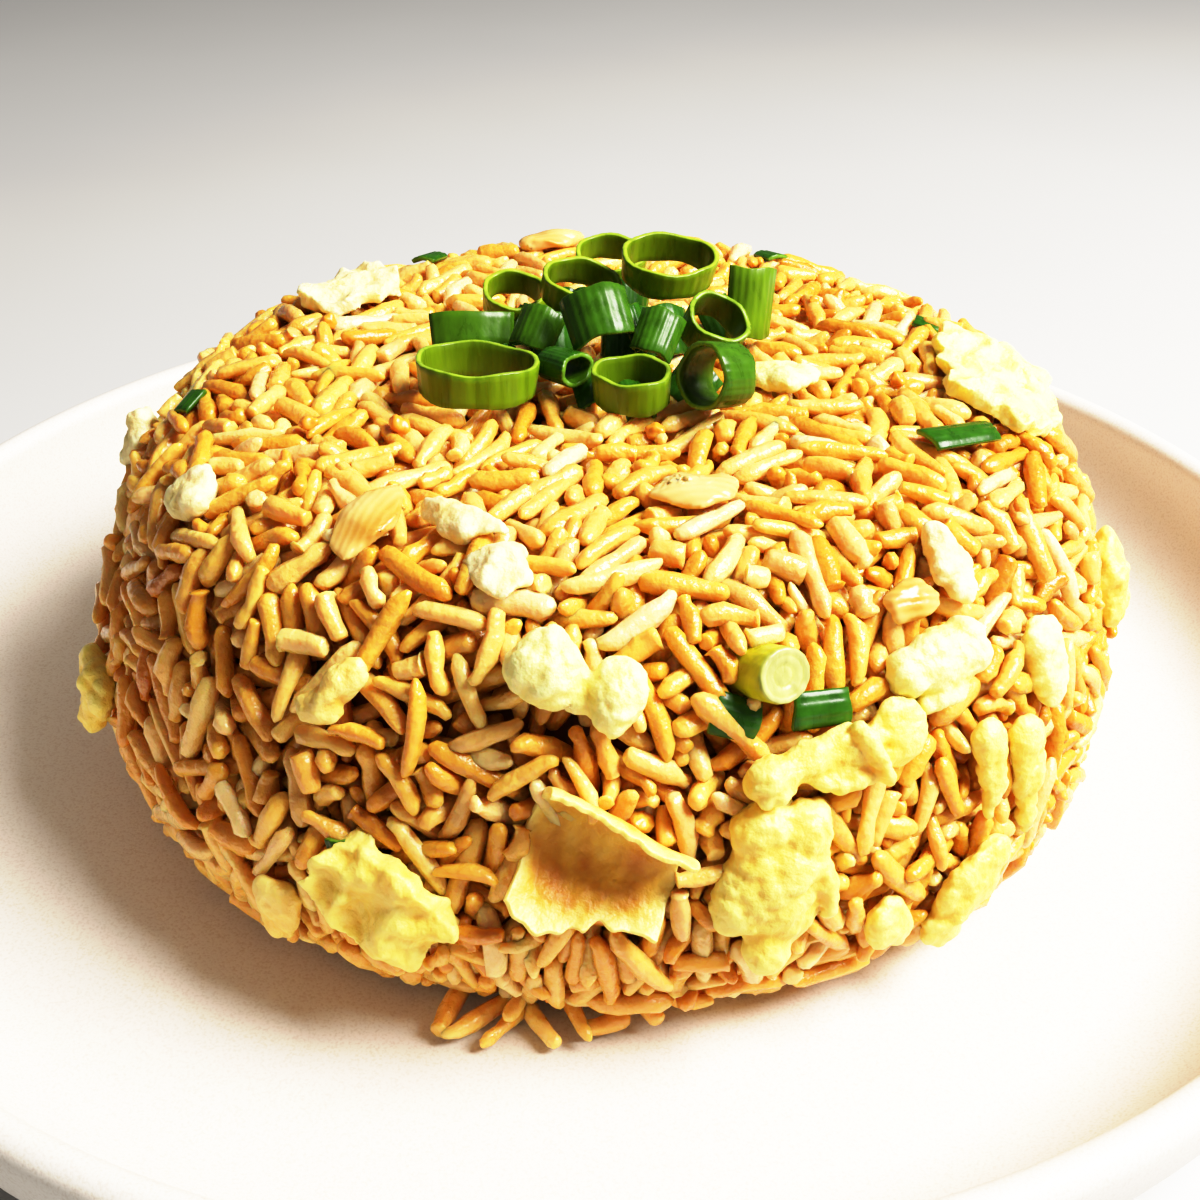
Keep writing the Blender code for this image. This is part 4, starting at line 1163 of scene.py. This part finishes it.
def leaf_material(name, outside, rim, inside):
    """Spring onion leaf: veins along its length, waxy outside, moist at the cut."""
    made, tree, shader = new_material(name)
    nodes, links = tree.nodes, tree.links
    tint = nodes.new("ShaderNodeAttribute")
    tint.attribute_name = "tint"
    ramp = nodes.new("ShaderNodeValToRGB")
    ramp.color_ramp.elements[0].color = (*outside, 1.0)
    ramp.color_ramp.elements[1].color = (*rim, 1.0)
    middle = ramp.color_ramp.elements.new(0.45)
    middle.color = (*inside, 1.0)
    where = nodes.new("ShaderNodeTexCoord")
    veins = nodes.new("ShaderNodeTexNoise")
    veins.inputs["Scale"].default_value = 1.0
    veins.inputs["Detail"].default_value = 3.0
    squeeze = nodes.new("ShaderNodeMapping")
    squeeze.inputs["Scale"].default_value = (900.0, 900.0, 120.0)
    shade = nodes.new("ShaderNodeMapRange")
    shade.inputs["From Min"].default_value = 0.3
    shade.inputs["From Max"].default_value = 0.7
    shade.inputs["To Min"].default_value = 0.72
    shade.inputs["To Max"].default_value = 1.22
    mix = nodes.new("ShaderNodeVectorMath")
    mix.operation = "SCALE"
    bump = nodes.new("ShaderNodeBump")
    bump.inputs["Strength"].default_value = 0.3
    bump.inputs["Distance"].default_value = 0.0002
    gloss = nodes.new("ShaderNodeMapRange")
    gloss.inputs["To Min"].default_value = 0.20
    gloss.inputs["To Max"].default_value = 0.38
    links.new(where.outputs["Object"], squeeze.inputs["Vector"])
    links.new(squeeze.outputs["Vector"], veins.inputs["Vector"])
    links.new(tint.outputs["Fac"], ramp.inputs["Fac"])
    links.new(veins.outputs["Fac"], shade.inputs["Value"])
    links.new(ramp.outputs["Color"], mix.inputs[0])
    links.new(shade.outputs["Result"], mix.inputs["Scale"])
    links.new(mix.outputs["Vector"], shader.inputs["Base Color"])
    links.new(veins.outputs["Fac"], bump.inputs["Height"])
    links.new(bump.outputs["Normal"], shader.inputs["Normal"])
    links.new(veins.outputs["Fac"], gloss.inputs["Value"])
    links.new(gloss.outputs["Result"], shader.inputs["Roughness"])
    shader.inputs["Specular IOR Level"].default_value = 0.3
    shader.inputs["Subsurface Weight"].default_value = 0.15
    shader.inputs["Subsurface Radius"].default_value = (0.5, 1.0, 0.2)
    shader.inputs["Subsurface Scale"].default_value = 0.8 * MM
    return made


def blend_colour(a, b, share):
    return tuple(x + (y - x) * share for x, y in zip(a, b))


YOUNG_LEAF = {"outside": (0.16, 0.27, 0.006), "rim": (0.30, 0.44, 0.03), "inside": (0.12, 0.19, 0.004)}
DEEP_LEAF = {"outside": (0.022, 0.085, 0.004), "rim": (0.12, 0.26, 0.02), "inside": (0.04, 0.10, 0.004)}
for number, (label, turn, radius, length, arc_degrees, squash, depth_of_green) in enumerate(CUT_LEAVES):
    node = "spring_onion_" + label
    bm, tints = leaf_mesh(radius * MM, length * MM, arc_degrees, squash, number * 1.7)
    pose = Euler([math.radians(a) for a in turn]).to_matrix()
    bmesh.ops.rotate(bm, verts=bm.verts, cent=(0, 0, 0), matrix=pose)
    low = Vector(min(vert.co[k] for vert in bm.verts) for k in range(3))
    high = Vector(max(vert.co[k] for vert in bm.verts) for k in range(3))
    cad_low, cad_high = (Vector(corner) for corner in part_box(node))
    bmesh.ops.translate(bm, verts=bm.verts, vec=(cad_low + cad_high - low - high) / 2)
    colours = {k: blend_colour(YOUNG_LEAF[k], DEEP_LEAF[k], depth_of_green) for k in YOUNG_LEAF}
    leaf = mesh_object(node + "_cut", bm, leaf_material(node, **colours))
    set_tint(leaf.data, tints)
    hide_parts(node)
    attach(leaf, "root")


# Smaller cuts of deep green leaf, which lie between and under the larger ones.
TOP_MIDDLE = MOUND_AXIS + Vector((0.0, 0.0, MOUND_FLOOR + MOUND_HEIGHT))
LeafScrap = namedtuple("LeafScrap", "place turn radius length arc")
# place: millimetres from the middle of the mound's top; turn: degrees about X, Y, then Z.
SCRAPS_ON_TOP = (
    LeafScrap((-4.0, 1.5, 2.2), (-30, 20, 40), 3.4, 5.6, 140),
    LeafScrap((1.8, 0.4, 3.2), (-38, -12, -20), 3.6, 6.0, 130),
    LeafScrap((7.4, 2.0, 3.0), (-42, 10, 25), 3.2, 5.6, 130),
    LeafScrap((-8.8, 3.6, 1.8), (-34, 15, -35), 3.2, 5.2, 125),
    LeafScrap((-10.2, -3.8, 1.5), (-64, 0, 30), 3.0, 5.4, 120),
    LeafScrap((8.4, -8.2, 1.6), (-55, 12, -40), 3.0, 4.8, 130),
    LeafScrap((-0.6, -9.0, 1.4), (-70, 5, 14), 3.0, 4.8, 110),
    LeafScrap((3.0, -12.4, 1.8), (-66, 0, 24), 2.0, 4.2, 150),
    LeafScrap((13.8, 8.0, 2.0), (-36, 0, 50), 3.2, 4.8, 120),
    LeafScrap((2.6, 12.2, 2.2), (-32, 10, 10), 3.4, 5.0, 120),
    LeafScrap((-5.4, 11.4, 1.8), (-40, 0, -20), 2.8, 4.6, 110),
    LeafScrap((4.2, -2.2, 5.0), (-30, 24, 70), 2.6, 5.0, 120),
    LeafScrap((-2.2, 3.6, 4.8), (-44, -20, -10), 2.6, 4.6, 120),
)
# on the mound's skin, as a place in millimetres from the plate's middle and a turn in its surface
SCRAPS_IN_SKIN = (
    LeafScrap((13.2, -51.0, 40.8), 68, 3.6, 4.2, 62), LeafScrap((20.6, -49.2, 40.4), 84, 3.4, 5.4, 58),
    LeafScrap((-41.5, -6.0, 48.4), 50, 3.4, 3.4, 50), LeafScrap((39.4, 11.0, 50.2), -40, 3.2, 3.2, 55),
    LeafScrap((23.6, 33.0, 50.4), 62, 3.4, 3.4, 60), LeafScrap((-19.6, 32.4, 50.4), -60, 3.4, 3.6, 60),
    LeafScrap((-21.0, -51.6, 26.6), 20, 2.6, 2.4, 50),
)
SCRAP_SINK = 0.4 * MM
bm, tints = bmesh.new(), []


def add_leaf(into, scrap, place, seed):
    """One cut leaf added to a bmesh at a place; returns its tints."""
    piece, tones = leaf_mesh(scrap.radius * MM, scrap.length * MM, scrap.arc, 1.0, seed)
    bmesh.ops.transform(piece, verts=piece.verts, matrix=place)
    passing = bpy.data.meshes.new("passing")
    piece.to_mesh(passing)
    piece.free()
    into.from_mesh(passing)
    bpy.data.meshes.remove(passing)
    return tones


def laid_flat(point, turn, radius):
    """Place of a leaf lying on the mound's skin with its waxy side outwards."""
    return (mould_frame(point) @ Matrix.Rotation(math.radians(turn), 4, "Z")
            @ Matrix.Rotation(math.radians(-90), 4, "X")
            @ Matrix.Translation((0.0, radius * MM - SCRAP_SINK, 0.0)))


for number, scrap in enumerate(SCRAPS_ON_TOP):
    place = Euler([math.radians(a) for a in scrap.turn]).to_matrix().to_4x4()
    back = place @ Vector((0.0, -scrap.radius * MM, 0.0))
    place.translation = TOP_MIDDLE + Vector(scrap.place) * MM - back
    tints += add_leaf(bm, scrap, place, 20 + number * 1.3)
for number, scrap in enumerate(SCRAPS_IN_SKIN):
    point = Vector(scrap.place) * MM
    tints += add_leaf(bm, scrap, laid_flat(point, scrap.turn, scrap.radius), 60 + number * 1.3)
deep_leaf = leaf_material("spring_onion_deep", **DEEP_LEAF)
scraps = mesh_object("spring_onion_scraps", bm, deep_leaf)
set_tint(scraps.data, tints)
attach(scraps, "root")

SHOULDER_LEAF = LeafScrap(None, 55, 3.4, 8.4, 64)
bm = bmesh.new()
spot = node_middle("spring_onion_leaf_in_shoulder")
tints = add_leaf(bm, SHOULDER_LEAF, laid_flat(spot, SHOULDER_LEAF.turn, SHOULDER_LEAF.radius), 90)
shoulder_leaf = mesh_object("spring_onion_shoulder_cut", bm, deep_leaf)
set_tint(shoulder_leaf.data, tints)
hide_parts("spring_onion_leaf_in_shoulder")
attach(shoulder_leaf, "root")

# ---------------------------------------------------------------------------------------------
# Stem slice.  The one slice of pale spring onion stem, folded into the rice with a cut end facing
# out: layers of leaf rolled inside one another, white where they were cut.
STEM_RADIUS, STEM_LENGTH = 2.7 * MM, 6.2 * MM
STEM_AIM, STEM_RISE = math.radians(34), math.radians(24)
STEM_SIDES = 60
# The profile from the buried end to the cut face: share of radius, share of half length, tint.
STEM_PROFILE = (
    (0.0, -0.96, 0.5), (0.80, -0.97, 0.5), (0.96, -0.94, 0.2), (1.0, -0.86, 0.0),
    (1.0, -0.4, 0.0), (1.0, 0.1, 0.0), (1.0, 0.55, 0.0), (1.0, 0.86, 0.05), (0.975, 0.95, 0.6),
    (0.93, 1.0, 0.95), (0.80, 0.99, 1.0),
    (0.72, 0.95, 0.75), (0.64, 0.97, 0.95), (0.44, 0.93, 0.9), (0.36, 0.88, 0.7), (0.30, 0.90, 0.9),
    (0.12, 0.88, 0.85), (0.0, 0.87, 0.85),
)
aim = Vector((math.sin(STEM_AIM) * math.cos(STEM_RISE), -math.cos(STEM_AIM) * math.cos(STEM_RISE),
              math.sin(STEM_RISE)))
stem_place = aim.to_track_quat("Z", "Y").to_matrix().to_4x4()
stem_place.translation = node_middle("spring_onion_stem_in_side")
bm, tints, loops = bmesh.new(), [], []
for share, height, tone in STEM_PROFILE:
    loop = []
    for i in range(STEM_SIDES if share > 0 else 1):
        turn = math.tau * i / STEM_SIDES
        reach = share * STEM_RADIUS * (0.93 + 0.05 * math.cos(2 * turn) + 0.008 * math.cos(15 * turn))
        rough = 0.10 * MM * noise.noise(Vector((math.cos(turn), math.sin(turn), height)) * 3.0) * share
        loop.append(bm.verts.new(stem_place @ Vector((
            math.cos(turn) * reach, math.sin(turn) * reach, height * STEM_LENGTH / 2 + rough))))
        tints.append(tone)
    loops.append(loop)
for near, far in zip(loops, loops[1:]):
    for i in range(STEM_SIDES):
        j = (i + 1) % STEM_SIDES
        corners = [near[i % len(near)], near[j % len(near)], far[j % len(far)], far[i % len(far)]]
        bm.faces.new(list(dict.fromkeys(corners)))
bmesh.ops.recalc_face_normals(bm, faces=bm.faces)
PALE_STEM = {"outside": (0.42, 0.42, 0.015), "rim": (0.46, 0.47, 0.16), "inside": (0.36, 0.38, 0.06)}
stem = mesh_object("spring_onion_stem_slice", bm, leaf_material("spring_onion_stem", **PALE_STEM))
set_tint(stem.data, tints)
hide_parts("spring_onion_stem_in_side")
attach(stem, "root")

# ---------------------------------------------------------------------------------------------
# Loose bits.  Grains that slid to the mound's foot when the bowl was lifted off, lying on the
# plate, and a few soft orange crumbs of fried carrot on the mound's top.
FOOT_TRIES = 240                    # places tried; one too near another grain is passed over
FOOT_SPACING = 2.5 * MM
FOOT_COLOURS = ((0.70, 0.33, 0.045), (0.83, 0.46, 0.10), (0.92, 0.61, 0.20))
FOOT_BEARINGS = (-18.0, 7.0)        # degrees round the mound, on the diner's side
FOOT_REACH = (50.0 * MM, 54.5 * MM)
strewing = np.random.default_rng(8)
spots, foot_turns = [], []
for _ in range(FOOT_TRIES):
    bearing = math.radians(strewing.uniform(*FOOT_BEARINGS))
    reach = strewing.uniform(*FOOT_REACH)
    climb = (FOOT_REACH[1] - reach) * 0.75
    spot = MOUND_AXIS + Vector((math.sin(bearing) * reach, -math.cos(bearing) * reach,
                                MOUND_FLOOR + GRAIN_GIRTH * 1.05 + climb))
    if any((spot - other).length < FOOT_SPACING for other in spots):
        continue
    spots.append(spot)
    heading = bearing - math.radians(90) + math.radians(strewing.uniform(-80, 80))
    dip = math.radians(strewing.uniform(0, 16)) * climb / (3.0 * MM)
    foot_turns.append(np.array(Euler((strewing.uniform(0, 6), dip, heading)).to_matrix()))
foot_half = GRAIN_LENGTH / 2 * strewing.uniform(0.6, 1.1, len(spots))
foot_girth = GRAIN_GIRTH * strewing.uniform(0.85, 1.1, len(spots))
foot_extents = np.stack([foot_half, foot_girth, foot_girth], axis=1)
loose = scatter("rice_grains_foot", [spot[:] for spot in spots], np.array(foot_turns), foot_extents,
                strewing.integers(0, len(GRAIN_BOWS), len(spots)), strewing.random(len(spots)), shapes,
                grain_material("rice_grains_foot", *FOOT_COLOURS, 0.80, 0.26))
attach(loose, "root")

CRUMB_PLACES = ((27.0, 15.8), (-28.8, 9.9), (7.3, -18.3), (-17.8, -17.1), (-26.8, -16.4), (33.0, -6.0))
bm = bmesh.new()
for number, (x, y) in enumerate(CRUMB_PLACES):
    size = strewing.uniform(0.7, 1.15) * MM
    made = bmesh.ops.create_icosphere(bm, subdivisions=3, radius=size)["verts"]
    middle = Vector((x * MM, y * MM, TOP_MIDDLE.z + size * 0.35))
    for vert in made:
        vert.co *= 1.0 + 0.45 * noise.noise(vert.co / size * 1.3 + Vector((number * 7.0, 0, 0)))
        vert.co = middle + vert.co
carrot, tree, shader = new_material("fried_carrot")
where = tree.nodes.new("ShaderNodeTexCoord")
patch = tree.nodes.new("ShaderNodeTexNoise")
patch.inputs["Scale"].default_value = 700.0
ramp = tree.nodes.new("ShaderNodeValToRGB")
ramp.color_ramp.elements[0].color = (0.62, 0.14, 0.01, 1.0)
ramp.color_ramp.elements[1].color = (0.95, 0.38, 0.03, 1.0)
tree.links.new(where.outputs["Object"], patch.inputs["Vector"])
tree.links.new(patch.outputs["Fac"], ramp.inputs["Fac"])
tree.links.new(ramp.outputs["Color"], shader.inputs["Base Color"])
shader.inputs["Roughness"].default_value = 0.32
shader.inputs["Subsurface Weight"].default_value = 0.4
shader.inputs["Subsurface Radius"].default_value = (1.0, 0.4, 0.1)
shader.inputs["Subsurface Scale"].default_value = 1.0 * MM
crumbs = mesh_object("carrot_crumbs", bm, carrot)
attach(crumbs, "root")
